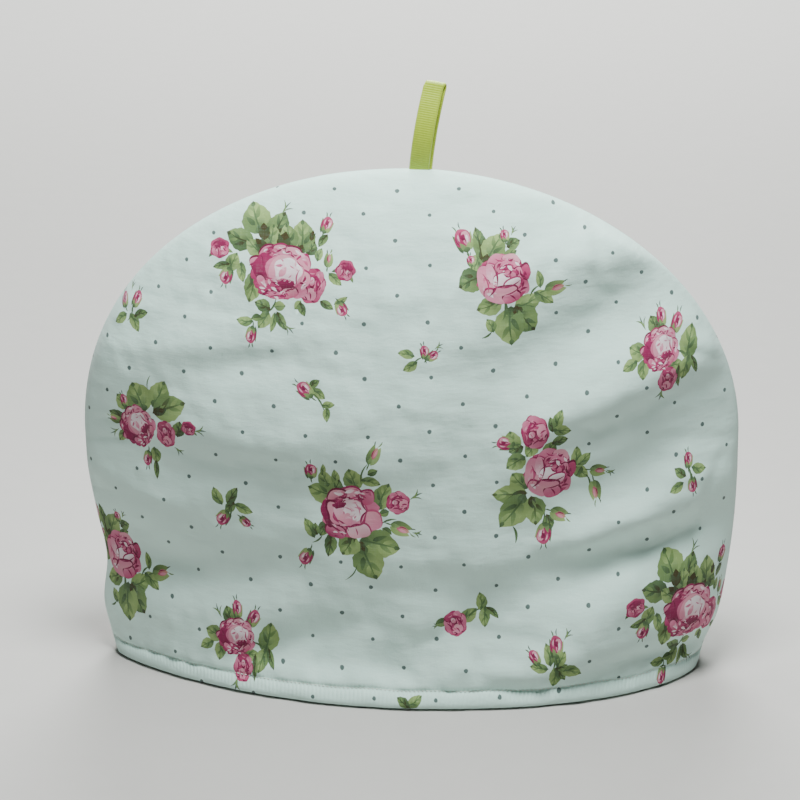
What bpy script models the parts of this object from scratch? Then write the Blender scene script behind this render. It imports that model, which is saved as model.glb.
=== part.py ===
"""A padded tea cosy that stands on its open hem.

Two arched panels, each one padded wall of cloth, are sewn together along the arch.
A folded ribbon loop is caught in the seam at the top.
The front faces -Y, +X is to the right, and the hem stands on Z = 0.
"""
import math

import bmesh
import bpy
from mathutils import Vector

MM = 0.001

# Outline of the sewn arch, in millimetres
ARCH_HEIGHT = 259.0
WIDEST_HEIGHT = 122.0
WIDEST_REACH = 166.0
ARCH_FULLNESS = 2.1
ARCH_LEAN = 3.0

# How far the sides reach below the widest height, uneven as the cloth stands
SIDE_SECTIONS = (
    # height, left reach, right reach
    (0.0, 152.5, 149.0),
    (12.0, 155.5, 152.0),
    (28.0, 158.5, 158.5),
    (52.0, 156.5, 162.5),
    (76.0, 161.0, 165.0),
    (100.0, 165.0, 166.0),
    (122.0, 166.0, 166.0),
)

# Half the depth on the middle line, how full each end of the section is (less is rounder),
# and how much deeper the right half stands than the left
DEPTH_SECTIONS = (
    # height, half depth, left end power, right end power, lean to the right
    (0.0, 70.0, 0.80, 0.58, 0.08),
    (30.0, 69.0, 0.79, 0.60, 0.06),
    (65.0, 66.0, 0.77, 0.66, 0.03),
    (122.0, 58.0, 0.75, 0.73, 0.0),
    (260.0, 56.0, 0.75, 0.75, 0.0),
)

# The padded wall and its seam
WALL = 6.0
SEAM_ALLOWANCE = 8.0
SEAM_ROLL = 2.4
SEAM_ROLL_WIDTH = 1.6
GAP = 0.3

# Soft folds of the wall, as ridges (outward) and troughs (inward, negative)
FRONT_FOLDS = (
    # start x, start height, end x, end height, half width, outward
    (108.0, 222.0, 44.0, 180.0, 15.0, -6.5),
    (40.0, 156.0, 118.0, 168.0, 14.0, 3.0),
    (80.0, 132.0, 140.0, 150.0, 10.0, -3.5),
    (10.0, 60.0, 72.0, 70.0, 12.0, -4.0),
    (72.0, 70.0, 140.0, 80.0, 11.0, -4.5),
    (80.0, 20.0, 108.0, 60.0, 13.0, 4.0),
    (-62.0, 28.0, -18.0, 40.0, 10.0, -4.0),
    (14.0, 34.0, 66.0, 36.0, 8.0, -2.5),
    (-142.0, 148.0, -60.0, 172.0, 13.0, -2.5),
    (-146.0, 116.0, -40.0, 110.0, 17.0, -3.5),
    (-138.0, 56.0, -100.0, 50.0, 12.0, -3.0),
)
BACK_FOLDS = (
    # start x, start height, end x, end height, half width, outward
    (-96.0, 214.0, -50.0, 170.0, 16.0, -5.0),
    (20.0, 150.0, 96.0, 176.0, 15.0, -3.0),
    (-120.0, 96.0, -20.0, 78.0, 14.0, -4.0),
    (30.0, 62.0, 128.0, 84.0, 14.0, -4.0),
    (-30.0, 26.0, 40.0, 34.0, 10.0, -3.0),
    (-70.0, 30.0, -88.0, 66.0, 13.0, 3.0),
)
FOLD_EDGE_FADE = 26.0
FOLD_HEM_FADE = 14.0

# Grid of each face: cells across, cells up, and how far they crowd towards the seam
CELLS_ACROSS = 34
CELLS_UP = 26
SHOULDER_HEIGHT = 196.0
EDGE_CROWDING = 0.55

# Ribbon loop
RIBBON_WIDTH = 10.0
RIBBON_THICKNESS = 1.0
LOOP_MIDDLE_X = 5.5
LOOP_LEAN = math.radians(9.8)
LOOP_STAND = 42.0
LOOP_FOOT = 5.5
LOOP_HALF_GAP = 3.9
LOOP_STEPS = 12
POCKET_DEPTH = 7.0

PRINT_GROUND = (0.80, 0.85, 0.82, 1.0)
RIBBON_GREEN = (0.50, 0.58, 0.10, 1.0)


def clear_scene():
    for old in list(bpy.data.objects):
        bpy.data.objects.remove(old, do_unlink=True)


def cloth_material(name, colour, roughness):
    material = bpy.data.materials.new(name)
    material.use_nodes = True
    shader = material.node_tree.nodes["Principled BSDF"]
    shader.inputs["Base Color"].default_value = colour
    shader.inputs["Roughness"].default_value = roughness
    shader.inputs["Metallic"].default_value = 0.0
    return material


def read_sections(sections, column, height):
    """Smooth value between a table's rows, with level-headed slopes at each row."""
    heights = [row[0] for row in sections]
    values = [row[column] for row in sections]
    last = len(sections) - 1
    if height <= heights[0]:
        return values[0]
    if height >= heights[last]:
        return values[last]
    low = max(i for i in range(last) if heights[i] <= height)
    slopes = []
    for i in (low, low + 1):
        before = max(i - 1, 0)
        after = min(i + 1, last)
        slopes.append((values[after] - values[before]) / (heights[after] - heights[before]))
    span = heights[low + 1] - heights[low]
    part = (height - heights[low]) / span
    start = (1 + 2 * part) * (1 - part) ** 2
    start_slope = part * (1 - part) ** 2
    end = part * part * (3 - 2 * part)
    end_slope = part * part * (part - 1)
    return (values[low] * start + span * slopes[0] * start_slope
            + values[low + 1] * end + span * slopes[1] * end_slope)


def reaches(height, inset):
    """Left and right reach of the outline at a height, drawn in by the inset."""
    if height <= WIDEST_HEIGHT:
        left = read_sections(SIDE_SECTIONS, 1, height)
        right = read_sections(SIDE_SECTIONS, 2, height)
        return left - inset, right - inset
    climb = (height - WIDEST_HEIGHT) / (ARCH_HEIGHT - inset - WIDEST_HEIGHT)
    climb = min(climb, 1.0)
    reach = (WIDEST_REACH - inset) * (1 - climb ** ARCH_FULLNESS) ** 0.5
    lean = ARCH_LEAN * math.sin(math.pi * climb / 2) ** 2 * min(1.0, reach / 40.0)
    return reach + lean, reach - lean


def fold_offset(folds, x, height):
    """Sum of the soft ridges and troughs at a place on the wall."""
    total = 0.0
    here = Vector((x, height))
    for start_x, start_height, end_x, end_height, half_width, outward in folds:
        start = Vector((start_x, start_height))
        along = Vector((end_x, end_height)) - start
        part = max(0.0, min(1.0, (here - start).dot(along) / along.length_squared))
        away = (here - start - along * part).length / half_width
        strength = 0.45 + 0.55 * math.sin(math.pi * (0.15 + 0.7 * part))
        total += outward * strength * math.exp(-away * away)
    return total


def wall_depth(folds, x, height, inset, thinner):
    """Distance of the wall's face from the middle plane."""
    left, right = reaches(height, inset)
    middle = (right - left) / 2
    half = max((right + left) / 2, 1e-6)
    across = min(1.0, abs(x - middle) / half)
    end_power = read_sections(DEPTH_SECTIONS, 2 if x < middle else 3, height)
    depth = read_sections(DEPTH_SECTIONS, 1, height) - thinner
    depth *= 1 + read_sections(DEPTH_SECTIONS, 4, height) * (x - middle) / half
    if height > WIDEST_HEIGHT:
        depth *= (half / (WIDEST_REACH - inset)) ** (2 * end_power)
    room = max(0.0, 1 - across * across)
    to_seam = room * half * half / (2 * WIDEST_REACH)
    roll = 0.0 if inset else SEAM_ROLL * (1 - math.exp(-to_seam / SEAM_ROLL_WIDTH))
    fade = min(1.0, to_seam / FOLD_EDGE_FADE) * min(1.0, 0.25 + height / FOLD_HEM_FADE)
    return depth * room ** end_power + roll + fade * fold_offset(folds, x, height)


def crowd(part):
    """Moves an even step from 0 to 1 towards both ends."""
    eased = 0.5 - 0.5 * math.cos(math.pi * part)
    return part + (eased - part) * EDGE_CROWDING


def outline_point(angle_part, inset):
    """Point of the arch between the shoulders, from left (0) to right (1)."""
    rise = ARCH_HEIGHT - inset - WIDEST_HEIGHT
    shoulder = math.asin((SHOULDER_HEIGHT - WIDEST_HEIGHT) / rise)
    angle = shoulder + (math.pi - 2 * shoulder) * angle_part
    height = WIDEST_HEIGHT + rise * math.sin(angle)
    left, right = reaches(height, inset)
    return Vector((-left if angle_part < 0.5 else right, height))


def face_grid(folds, inset, thinner, side):
    """Rows of points over one face of a panel, from the hem up to the arch."""
    hem_left, hem_right = reaches(0.0, inset)
    corners = (Vector((-hem_left, 0.0)), Vector((hem_right, 0.0)),
               outline_point(0.0, inset), outline_point(1.0, inset))
    rows = []
    for j in range(CELLS_UP + 1):
        up = j / CELLS_UP
        up_crowded = up + (crowd(up) - up) * up
        left, right = reaches(SHOULDER_HEIGHT * up_crowded, inset)
        left_edge = Vector((-left, SHOULDER_HEIGHT * up_crowded))
        right_edge = Vector((right, SHOULDER_HEIGHT * up_crowded))
        row = []
        for i in range(CELLS_ACROSS + 1):
            over = crowd(i / CELLS_ACROSS)
            bottom = corners[0].lerp(corners[1], over)
            top = outline_point(over, inset)
            place = bottom.lerp(top, up_crowded) + left_edge.lerp(right_edge, over)
            place -= corners[0].lerp(corners[1], over).lerp(corners[2].lerp(corners[3], over), up_crowded)
            on_edge = i in (0, CELLS_ACROSS) or j == CELLS_UP
            depth = 0.0 if on_edge else wall_depth(folds, place.x, place.y, inset, thinner)
            depth = max(depth, 0.0) + GAP / 2
            row.append(Vector((place.x, side * depth, place.y)) * MM)
        rows.append(row)
    return rows


def panel_mesh(name, folds, side):
    """Closed padded wall: outer face, inner face, seam rim and hem underside."""
    mesh = bmesh.new()
    outer = [[mesh.verts.new(p) for p in row] for row in face_grid(folds, 0.0, 0.0, side)]
    inner = [[mesh.verts.new(p) for p in row] for row in face_grid(folds, SEAM_ALLOWANCE, WALL, side)]
    for rows in (outer, inner):
        for j in range(CELLS_UP):
            for i in range(CELLS_ACROSS):
                mesh.faces.new((rows[j][i], rows[j][i + 1], rows[j + 1][i + 1], rows[j + 1][i]))
    rims = []
    for rows in (outer, inner):
        rim = list(rows[0])
        rim += [row[-1] for row in rows[1:]]
        rim += list(reversed(rows[-1]))[1:]
        rim += [row[0] for row in reversed(rows)][1:-1]
        rims.append(rim)
    count = len(rims[0])
    for k in range(count):
        after = (k + 1) % count
        mesh.faces.new((rims[0][k], rims[1][k], rims[1][after], rims[0][after]))
    bmesh.ops.recalc_face_normals(mesh, faces=mesh.faces[:])
    if mesh.calc_volume(signed=True) < 0:
        bmesh.ops.reverse_faces(mesh, faces=mesh.faces[:])
    bmesh.ops.triangulate(mesh, faces=mesh.faces[:])
    data = bpy.data.meshes.new(name)
    mesh.to_mesh(data)
    mesh.free()
    data.shade_smooth()
    data.set_sharp_from_angle(angle=math.radians(50))
    return data


def add_object(name, data, material):
    thing = bpy.data.objects.new(name, data)
    thing.data.materials.append(material)
    bpy.context.scene.collection.objects.link(thing)
    return thing


def seam_height(x):
    """Height of the arch seam above a place near the top."""
    low, high = WIDEST_HEIGHT, ARCH_HEIGHT
    for _ in range(40):
        middle = (low + high) / 2
        left, right = reaches(middle, 0.0)
        if -left <= x <= right:
            low = middle
        else:
            high = middle
    return low


def loop_mesh(name):
    foot_depth = RIBBON_THICKNESS / 2 + GAP / 2
    path = [(-foot_depth, -LOOP_FOOT), (-foot_depth, 0.0)]
    for k in range(1, LOOP_STEPS):
        part = k / LOOP_STEPS
        ease = part * part * (3 - 2 * part)
        bulge = foot_depth + (LOOP_HALF_GAP - foot_depth) * min(1.0, ease * 2.2)
        path.append((-bulge, (LOOP_STAND - LOOP_HALF_GAP) * part))
    for k in range(LOOP_STEPS + 1):
        angle = math.pi * k / LOOP_STEPS
        path.append((-LOOP_HALF_GAP * math.cos(angle),
                     LOOP_STAND - LOOP_HALF_GAP + LOOP_HALF_GAP * math.sin(angle)))
    path += [(-depth, rise) for depth, rise in reversed(path[:LOOP_STEPS + 1])]
    mesh = bmesh.new()
    lines = []
    for k, (depth, rise) in enumerate(path):
        before = path[max(k - 1, 0)]
        after = path[min(k + 1, len(path) - 1)]
        ahead = Vector((after[0] - before[0], after[1] - before[1])).normalized()
        out = Vector((-ahead.y, ahead.x)) * RIBBON_THICKNESS / 2
        line = []
        for across, sign in ((-1, 1), (1, 1), (1, -1), (-1, -1)):
            place = (across * RIBBON_WIDTH / 2, depth + sign * out.x, rise + sign * out.y)
            line.append(mesh.verts.new(Vector(place) * MM))
        lines.append(line)
    for first, second in zip(lines, lines[1:]):
        for k in range(4):
            after = (k + 1) % 4
            mesh.faces.new((first[k], first[after], second[after], second[k]))
    mesh.faces.new(lines[0])
    mesh.faces.new(lines[-1])
    bmesh.ops.recalc_face_normals(mesh, faces=mesh.faces[:])
    data = bpy.data.meshes.new(name)
    mesh.to_mesh(data)
    mesh.free()
    data.shade_smooth()
    data.set_sharp_from_angle(angle=math.radians(50))
    return data


def place_on_seam(thing):
    thing.location = Vector((LOOP_MIDDLE_X, 0.0, seam_height(LOOP_MIDDLE_X))) * MM
    thing.rotation_euler = (0.0, LOOP_LEAN, 0.0)


def seam_pocket():
    """Cutter for the slot in the seam that holds the ribbon's two ends."""
    size = Vector((RIBBON_WIDTH + 2 * GAP, 2 * RIBBON_THICKNESS + 3 * GAP, POCKET_DEPTH * 2)) * MM
    mesh = bmesh.new()
    bmesh.ops.create_cube(mesh, size=1.0)
    bmesh.ops.scale(mesh, vec=size, verts=mesh.verts[:])
    data = bpy.data.meshes.new("seam_pocket")
    mesh.to_mesh(data)
    mesh.free()
    cutter = bpy.data.objects.new("seam_pocket", data)
    bpy.context.scene.collection.objects.link(cutter)
    place_on_seam(cutter)
    cutter.hide_render = True
    cutter.display_type = "WIRE"
    return cutter


def main():
    clear_scene()
    cotton = cloth_material("printed_cotton", PRINT_GROUND, 0.85)
    cotton_back = cloth_material("printed_cotton_back", PRINT_GROUND, 0.85)
    ribbon = cloth_material("green_ribbon", RIBBON_GREEN, 0.45)
    front = add_object("panel_front", panel_mesh("panel_front", FRONT_FOLDS, -1), cotton)
    back = add_object("panel_back", panel_mesh("panel_back", BACK_FOLDS, 1), cotton_back)
    loop = add_object("hanging_loop", loop_mesh("hanging_loop"), ribbon)
    place_on_seam(loop)
    pocket = seam_pocket()
    for panel in (front, back):
        cut = panel.modifiers.new("seam_pocket", "BOOLEAN")
        cut.operation = "DIFFERENCE"
        cut.object = pocket


main()
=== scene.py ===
"""The looks of a padded tea cosy that stands on its hem.

The two walls keep the folds of their solids and add the hem's roll and stitching, the seam and the
finer creases. The cloth is laid flat first and printed there with rose sprigs and dots, so that the
print bends with the cloth as it does on the real one.
"""
import math

import bpy
import numpy as np
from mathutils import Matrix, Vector
from mathutils.geometry import delaunay_2d_cdt
from mathutils.kdtree import KDTree


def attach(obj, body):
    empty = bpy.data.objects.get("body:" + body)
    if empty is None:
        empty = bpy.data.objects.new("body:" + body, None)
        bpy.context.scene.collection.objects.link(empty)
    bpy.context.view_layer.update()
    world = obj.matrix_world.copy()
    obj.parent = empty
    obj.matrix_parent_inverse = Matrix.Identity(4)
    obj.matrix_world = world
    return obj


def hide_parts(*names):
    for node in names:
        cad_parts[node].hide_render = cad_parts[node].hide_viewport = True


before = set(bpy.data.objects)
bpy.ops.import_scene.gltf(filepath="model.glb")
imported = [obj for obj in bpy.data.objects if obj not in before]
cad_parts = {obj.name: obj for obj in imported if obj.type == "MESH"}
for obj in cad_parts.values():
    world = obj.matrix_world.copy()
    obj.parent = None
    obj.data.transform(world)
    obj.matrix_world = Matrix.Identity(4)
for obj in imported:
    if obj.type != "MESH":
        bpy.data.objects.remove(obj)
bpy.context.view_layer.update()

MM = 0.001

# The sewn arch, at the solids' sizes, in millimetres
ARCH_HEIGHT = 259.0
WIDEST_HEIGHT = 122.0
WIDEST_REACH = 166.0
ARCH_FULLNESS = 2.1
ARCH_LEAN = 3.0
SIDE_SECTIONS = (
    # height, left reach, right reach
    (0.0, 152.5, 149.0),
    (12.0, 155.5, 152.0),
    (28.0, 158.5, 158.5),
    (52.0, 156.5, 162.5),
    (76.0, 161.0, 165.0),
    (100.0, 165.0, 166.0),
    (122.0, 166.0, 166.0),
)
DEPTH_SECTIONS = (
    # height, half depth, left end power, right end power, lean to the right
    (0.0, 70.0, 0.80, 0.58, 0.08),
    (30.0, 69.0, 0.79, 0.60, 0.06),
    (65.0, 66.0, 0.77, 0.66, 0.03),
    (122.0, 58.0, 0.75, 0.73, 0.0),
    (260.0, 56.0, 0.75, 0.75, 0.0),
)
WALL = 6.0
SEAM_ALLOWANCE = 8.0
SEAM_ROLL = 2.4
SEAM_ROLL_WIDTH = 1.6
GAP = 0.3

# The solids' soft folds
FRONT_FOLDS = (
    # start x, start height, end x, end height, half width, outward
    (108.0, 222.0, 44.0, 180.0, 15.0, -6.5),
    (40.0, 156.0, 118.0, 168.0, 14.0, 3.0),
    (80.0, 132.0, 140.0, 150.0, 10.0, -3.5),
    (10.0, 60.0, 72.0, 70.0, 12.0, -4.0),
    (72.0, 70.0, 140.0, 80.0, 11.0, -4.5),
    (80.0, 20.0, 108.0, 60.0, 13.0, 4.0),
    (-62.0, 28.0, -18.0, 40.0, 10.0, -4.0),
    (14.0, 34.0, 66.0, 36.0, 8.0, -2.5),
    (-142.0, 148.0, -60.0, 172.0, 13.0, -2.5),
    (-146.0, 116.0, -40.0, 110.0, 17.0, -3.5),
    (-138.0, 56.0, -100.0, 50.0, 12.0, -3.0),
)
BACK_FOLDS = (
    # start x, start height, end x, end height, half width, outward
    (-96.0, 214.0, -50.0, 170.0, 16.0, -5.0),
    (20.0, 150.0, 96.0, 176.0, 15.0, -3.0),
    (-120.0, 96.0, -20.0, 78.0, 14.0, -4.0),
    (30.0, 62.0, 128.0, 84.0, 14.0, -4.0),
    (-30.0, 26.0, 40.0, 34.0, 10.0, -3.0),
    (-70.0, 30.0, -88.0, 66.0, 13.0, 3.0),
)
FOLD_EDGE_FADE = 26.0
FOLD_HEM_FADE = 14.0

# Creases that only the cloth has, of which the lining follows the broad ones. A ridge is the same
# on both sides of its line, and a step rises on one side of it and falls on the other.
FRONT_CREASES = (
    # start x, start height, end x, end height, half width, outward, step share
    (108.0, 222.0, 44.0, 180.0, 15.0, 6.0, 0.0),
    (122.0, 226.0, 40.0, 214.0, 13.0, 4.6, 0.0),
    (122.0, 202.0, 44.0, 160.0, 17.0, -9.5, 0.0),
    (152.0, 172.0, 66.0, 138.0, 11.0, 3.6, 0.0),
    (158.0, 144.0, 62.0, 88.0, 17.0, -8.0, 0.0),
    (158.0, 102.0, 40.0, 72.0, 9.0, 3.4, 0.0),
    (152.0, 82.0, 34.0, 46.0, 13.0, -7.0, 0.0),
    (62.0, 22.0, 104.0, 26.0, 9.0, 3.0, 0.0),
    (108.0, 14.0, 148.0, 18.0, 10.0, -4.0, 0.0),
    (-128.0, 30.0, -36.0, 56.0, 14.0, 3.6, 0.0),
    (-80.0, 19.0, 10.0, 18.0, 13.0, -4.6, 0.0),
    (-94.0, 136.0, -10.0, 136.0, 24.0, 5.0, 0.0),
    (-168.0, 160.0, -116.0, 168.0, 26.0, 5.6, 0.0),
    (-154.0, 58.0, -40.0, 58.0, 28.0, -10.5, 0.0),
    (-148.0, 68.0, -112.0, 58.0, 10.0, -2.4, 0.0),
    (-152.0, 24.0, -104.0, 26.0, 12.0, -3.0, 0.0),
    (-40.0, 38.0, 40.0, 40.0, 40.0, -5.5, 0.0),
    (-156.0, 170.0, -44.0, 182.0, 5.0, 0.9, 0.2),
    (-154.0, 160.0, -56.0, 170.0, 6.0, -0.9, 0.2),
    (87.0, 243.0, 93.0, 220.0, 4.0, -2.0, 0.7),
    (96.0, 234.0, 112.0, 226.0, 7.0, 2.0, 0.0),
    (52.0, 196.0, 80.0, 226.0, 5.0, -1.0, 0.4),
    (112.0, 198.0, 150.0, 172.0, 6.0, 1.6, 0.0),
    (130.0, 176.0, 160.0, 162.0, 3.2, -1.5, 0.3),
    (126.0, 142.0, 162.0, 146.0, 4.0, 1.5, 0.3),
    (120.0, 128.0, 164.0, 122.0, 3.4, -1.6, 0.3),
    (124.0, 110.0, 160.0, 106.0, 5.0, 1.3, 0.0),
    (156.0, 118.0, 138.0, 72.0, 3.6, -1.3, 0.5),
    (96.0, 62.0, 150.0, 78.0, 4.0, -1.2, 0.5),
    (66.0, 52.0, 84.0, 30.0, 5.0, -1.3, 0.3),
    (108.0, 66.0, 118.0, 24.0, 6.0, 1.5, 0.2),
    (120.0, 40.0, 146.0, 30.0, 4.0, -1.2, 0.3),
    (-10.0, 226.0, -14.0, 158.0, 2.4, 0.5, 0.0),
    (-3.0, 232.0, -4.0, 150.0, 2.0, -0.5, 0.3),
    (-28.0, 214.0, -4.0, 182.0, 2.4, -0.5, 0.3),
    (12.0, 190.0, 38.0, 226.0, 3.0, 0.6, 0.3),
    (-150.0, 196.0, -74.0, 192.0, 3.0, -0.8, 0.3),
    (-120.0, 186.0, -92.0, 208.0, 3.4, -0.8, 0.4),
    (-158.0, 128.0, -120.0, 140.0, 3.4, -1.3, 0.3),
    (-164.0, 116.0, -140.0, 121.0, 2.8, -1.8, 0.3),
    (-162.0, 104.0, -118.0, 92.0, 5.0, 1.2, 0.0),
    (-156.0, 60.0, -128.0, 76.0, 4.0, -1.2, 0.4),
    (-157.0, 46.0, -128.0, 34.0, 4.0, 1.3, 0.3),
    (-134.0, 14.0, -122.0, 44.0, 3.0, -1.2, 0.4),
    (-124.0, 13.0, -116.0, 36.0, 2.4, 0.9, 0.3),
    (-112.0, 13.0, -104.0, 34.0, 3.0, -0.8, 0.4),
    (-78.0, 13.0, -46.0, 12.0, 5.0, 1.8, 0.0),
    (-38.0, 13.0, -16.0, 14.0, 4.5, 2.0, 0.0),
    (-44.0, 12.0, -38.0, 26.0, 3.0, -1.2, 0.2),
    (-12.0, 11.0, -9.0, 24.0, 3.0, -1.4, 0.2),
    (12.0, 15.0, 32.0, 15.0, 6.0, 3.0, 0.0),
    (6.0, 18.0, 12.0, 19.0, 4.0, 1.4, 0.0),
    (22.0, 20.0, 30.0, 21.0, 4.0, 1.6, 0.0),
    (46.0, 21.0, 56.0, 20.0, 4.0, 1.6, 0.0),
    (-60.0, 17.0, -52.0, 18.0, 4.0, 1.4, 0.0),
    (-30.0, 17.0, -24.0, 18.0, 4.0, 1.3, 0.0),
    (40.0, 16.0, 66.0, 15.0, 6.0, 3.0, 0.0),
    (36.0, 24.0, 38.0, 10.0, 3.0, -1.6, 0.0),
    (4.0, 28.0, 20.0, 36.0, 3.4, -1.0, 0.4),
    (68.0, 30.0, 78.0, 12.0, 3.6, -1.4, 0.3),
    (-90.0, 130.0, -50.0, 128.0, 6.0, 0.6, 0.0),
    (-64.0, 104.0, 10.0, 98.0, 8.0, -0.9, 0.0),
)
BACK_CREASES = (
    # start x, start height, end x, end height, half width, outward, step share
    (-116.0, 206.0, -48.0, 164.0, 17.0, -5.0, 0.0),
    (-150.0, 172.0, -66.0, 142.0, 11.0, 3.2, 0.0),
    (-156.0, 142.0, -62.0, 92.0, 16.0, -5.0, 0.0),
    (-150.0, 84.0, -40.0, 50.0, 13.0, -4.6, 0.0),
    (120.0, 140.0, 10.0, 134.0, 24.0, 3.6, 0.0),
    (150.0, 58.0, 44.0, 60.0, 24.0, -5.0, 0.0),
    (-50.0, 18.0, 44.0, 18.0, 13.0, -3.4, 0.0),
    (-70.0, 232.0, -84.0, 206.0, 4.0, -1.0, 0.6),
    (-112.0, 206.0, -146.0, 176.0, 5.0, 1.0, 0.0),
    (-128.0, 150.0, -160.0, 138.0, 3.6, -0.9, 0.3),
    (-164.0, 104.0, -120.0, 98.0, 4.0, 0.9, 0.3),
    (6.0, 222.0, 12.0, 160.0, 3.0, 0.35, 0.0),
    (60.0, 196.0, 130.0, 188.0, 3.4, -0.6, 0.3),
    (110.0, 150.0, 160.0, 140.0, 4.0, -0.8, 0.4),
    (118.0, 112.0, 164.0, 116.0, 4.0, 1.0, 0.0),
    (90.0, 40.0, 140.0, 22.0, 4.6, -0.9, 0.4),
    (-30.0, 56.0, 30.0, 50.0, 8.0, 0.9, 0.0),
    (-120.0, 40.0, -90.0, 20.0, 4.0, -0.8, 0.3),
    (-60.0, 14.0, -20.0, 20.0, 7.0, 1.2, 0.0),
    (30.0, 24.0, 62.0, 16.0, 4.0, -0.8, 0.2),
    (-20.0, 120.0, 50.0, 116.0, 8.0, -0.6, 0.0),
)
CREASE_EDGE_FADE = 3.0

# The hem's roll, its topstitching and the puckers above it
STITCH_HEIGHT = 8.8
STITCH_PITCH = 2.1
STITCH_SINK = 1.0
HEM_ROLL = 3.6
HEM_ROUND = 2.7
PUCKER_REACH = 11.0

# Spacing of the cloth's points
POINT_STEP = 3.0
HEM_POINT_STEP = 0.68
HEM_ROWS = (0.12, 0.4, 0.9, 1.7, 2.9, 4.4, 5.9, 7.1, 7.9, 8.4, 8.8, 9.2, 9.8, 10.7, 12.0)
SEAM_ROWS = (0.3, 0.8, 1.5, 2.5, 3.8)
SEAM_POINT_STEP = 1.6
INNER_POINT_STEP = 6.0

# The ribbon folded into a loop in the seam
RIBBON_WIDTH = 10.0
RIBBON_THICKNESS = 1.0
RIB_PITCH = 1.15
RIBBON_BEND = 3.4
LOOP_MIDDLE_X = 4.6
LOOP_LEAN = math.radians(9.8)
LOOP_STAND = 43.6
LOOP_FOOT = 5.5
LOOP_HALF_GAP = 3.9
TOP_HALF_GAP = 1.2
LOOP_BACK = 5.0

# The camera, fitted to the photograph's outline
CAMERA_DISTANCE = 1.8
CAMERA_AROUND = 2.54
CAMERA_TILT = 18.45
CAMERA_TARGET = (0.0, 0.0, 0.13)
TARGET_PIXEL = (410.4, 415.2)
PIXELS_PER_METRE = 1972.6


def read_sections(sections, column, height):
    """Smooth values between a table's rows, at each of an array of heights."""
    table = np.array(sections)
    heights, values = table[:, 0], table[:, column]
    slopes = np.empty_like(values)
    slopes[1:-1] = (values[2:] - values[:-2]) / (heights[2:] - heights[:-2])
    slopes[0] = (values[1] - values[0]) / (heights[1] - heights[0])
    slopes[-1] = (values[-1] - values[-2]) / (heights[-1] - heights[-2])
    height = np.clip(height, heights[0], heights[-1])
    low = np.clip(np.searchsorted(heights, height, side="right") - 1, 0, len(heights) - 2)
    span = heights[low + 1] - heights[low]
    part = (height - heights[low]) / span
    start = (1 + 2 * part) * (1 - part) ** 2
    end = part * part * (3 - 2 * part)
    return (values[low] * start + span * slopes[low] * part * (1 - part) ** 2
            + values[low + 1] * end + span * slopes[low + 1] * part * part * (part - 1))


def reaches(height, inset):
    """Left and right reach of the outline at each height, drawn in by the inset."""
    climb = np.clip((height - WIDEST_HEIGHT) / (ARCH_HEIGHT - inset - WIDEST_HEIGHT), 0.0, 1.0)
    reach = (WIDEST_REACH - inset) * np.sqrt(1 - climb ** ARCH_FULLNESS)
    lean = ARCH_LEAN * np.sin(np.pi * climb / 2) ** 2 * np.minimum(1.0, reach / 40.0)
    below = height <= WIDEST_HEIGHT
    left = np.where(below, read_sections(SIDE_SECTIONS, 1, height) - inset, reach + lean)
    right = np.where(below, read_sections(SIDE_SECTIONS, 2, height) - inset, reach - lean)
    return left, right


def line_profile(x, height, fold, step_share=0.0):
    """One ridge, trough or step along a straight line, soft at its sides and its ends."""
    start_x, start_height, end_x, end_height, half_width, outward = fold[:6]
    along_x, along_height = end_x - start_x, end_height - start_height
    length = math.hypot(along_x, along_height)
    part = ((x - start_x) * along_x + (height - start_height) * along_height) / length ** 2
    part = np.clip(part, 0.0, 1.0)
    away_x = x - start_x - along_x * part
    away_height = height - start_height - along_height * part
    away = np.hypot(away_x, away_height) / half_width
    side = (along_x * away_height - along_height * away_x) / (length * half_width)
    strength = 0.45 + 0.55 * np.sin(np.pi * (0.15 + 0.7 * part))
    bell = np.exp(-away * away)
    return outward * strength * ((1 - step_share) * bell + step_share * 2.0 * side * bell)


def uneven(x, y, shortest, longest, seed):
    """Smooth irregular unevenness of about unit height, as a sum of crossing waves."""
    random = np.random.default_rng(seed)
    total = 0.0
    for _ in range(9):
        angle = random.uniform(0, math.pi)
        length = random.uniform(shortest, longest)
        phase = random.uniform(0, 2 * math.pi)
        total = total + np.sin(2 * np.pi * (x * math.cos(angle) + y * math.sin(angle)) / length + phase)
    return total / 3.0


def hem_relief(along, height, seed):
    """Outward lift of the cloth at the hem: its roll, the sunk stitch line and the puckers."""
    line = STITCH_HEIGHT + 0.35 * uneven(along, 0 * along, 18.0, 60.0, seed)
    above = height - line
    beat = np.cos(2 * np.pi * along / STITCH_PITCH + 1.2 * uneven(along, 0 * along, 30.0, 90.0, seed + 1))
    sink = -STITCH_SINK * (1 + 0.35 * beat) * np.exp(-(above / np.where(above < 0, 0.6, 1.2)) ** 2)
    roll = HEM_ROLL * np.sin(np.pi * np.clip(height / line, 0.0, 1.0) ** 0.55)
    gather = 0.50 * (beat - 1) * np.exp(-((above + 1.0) / 0.9) ** 2)
    ribs = 0.20 * beat * np.exp(-((above + 3.0) / 2.6) ** 2)
    slow = uneven(along, 0 * along, 7.0, 17.0, seed + 2)
    fading = np.minimum(above / 2.0, 1.0) * np.exp(-above / PUCKER_REACH)
    puckers = np.where(above > 0, 0.65 * slow * fading, 0.0)
    lumps = 0.28 * uneven(along, height, 9.0, 30.0, seed + 3) * np.where(above < 0, 1.0, 0.0)
    return (sink + roll * np.clip(-above / 1.2, 0.0, 1.0) + gather + ribs + puckers
            + lumps * np.clip(-above / 2.0, 0.0, 1.0) * np.clip(height / 2.0, 0.0, 1.0))


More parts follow.
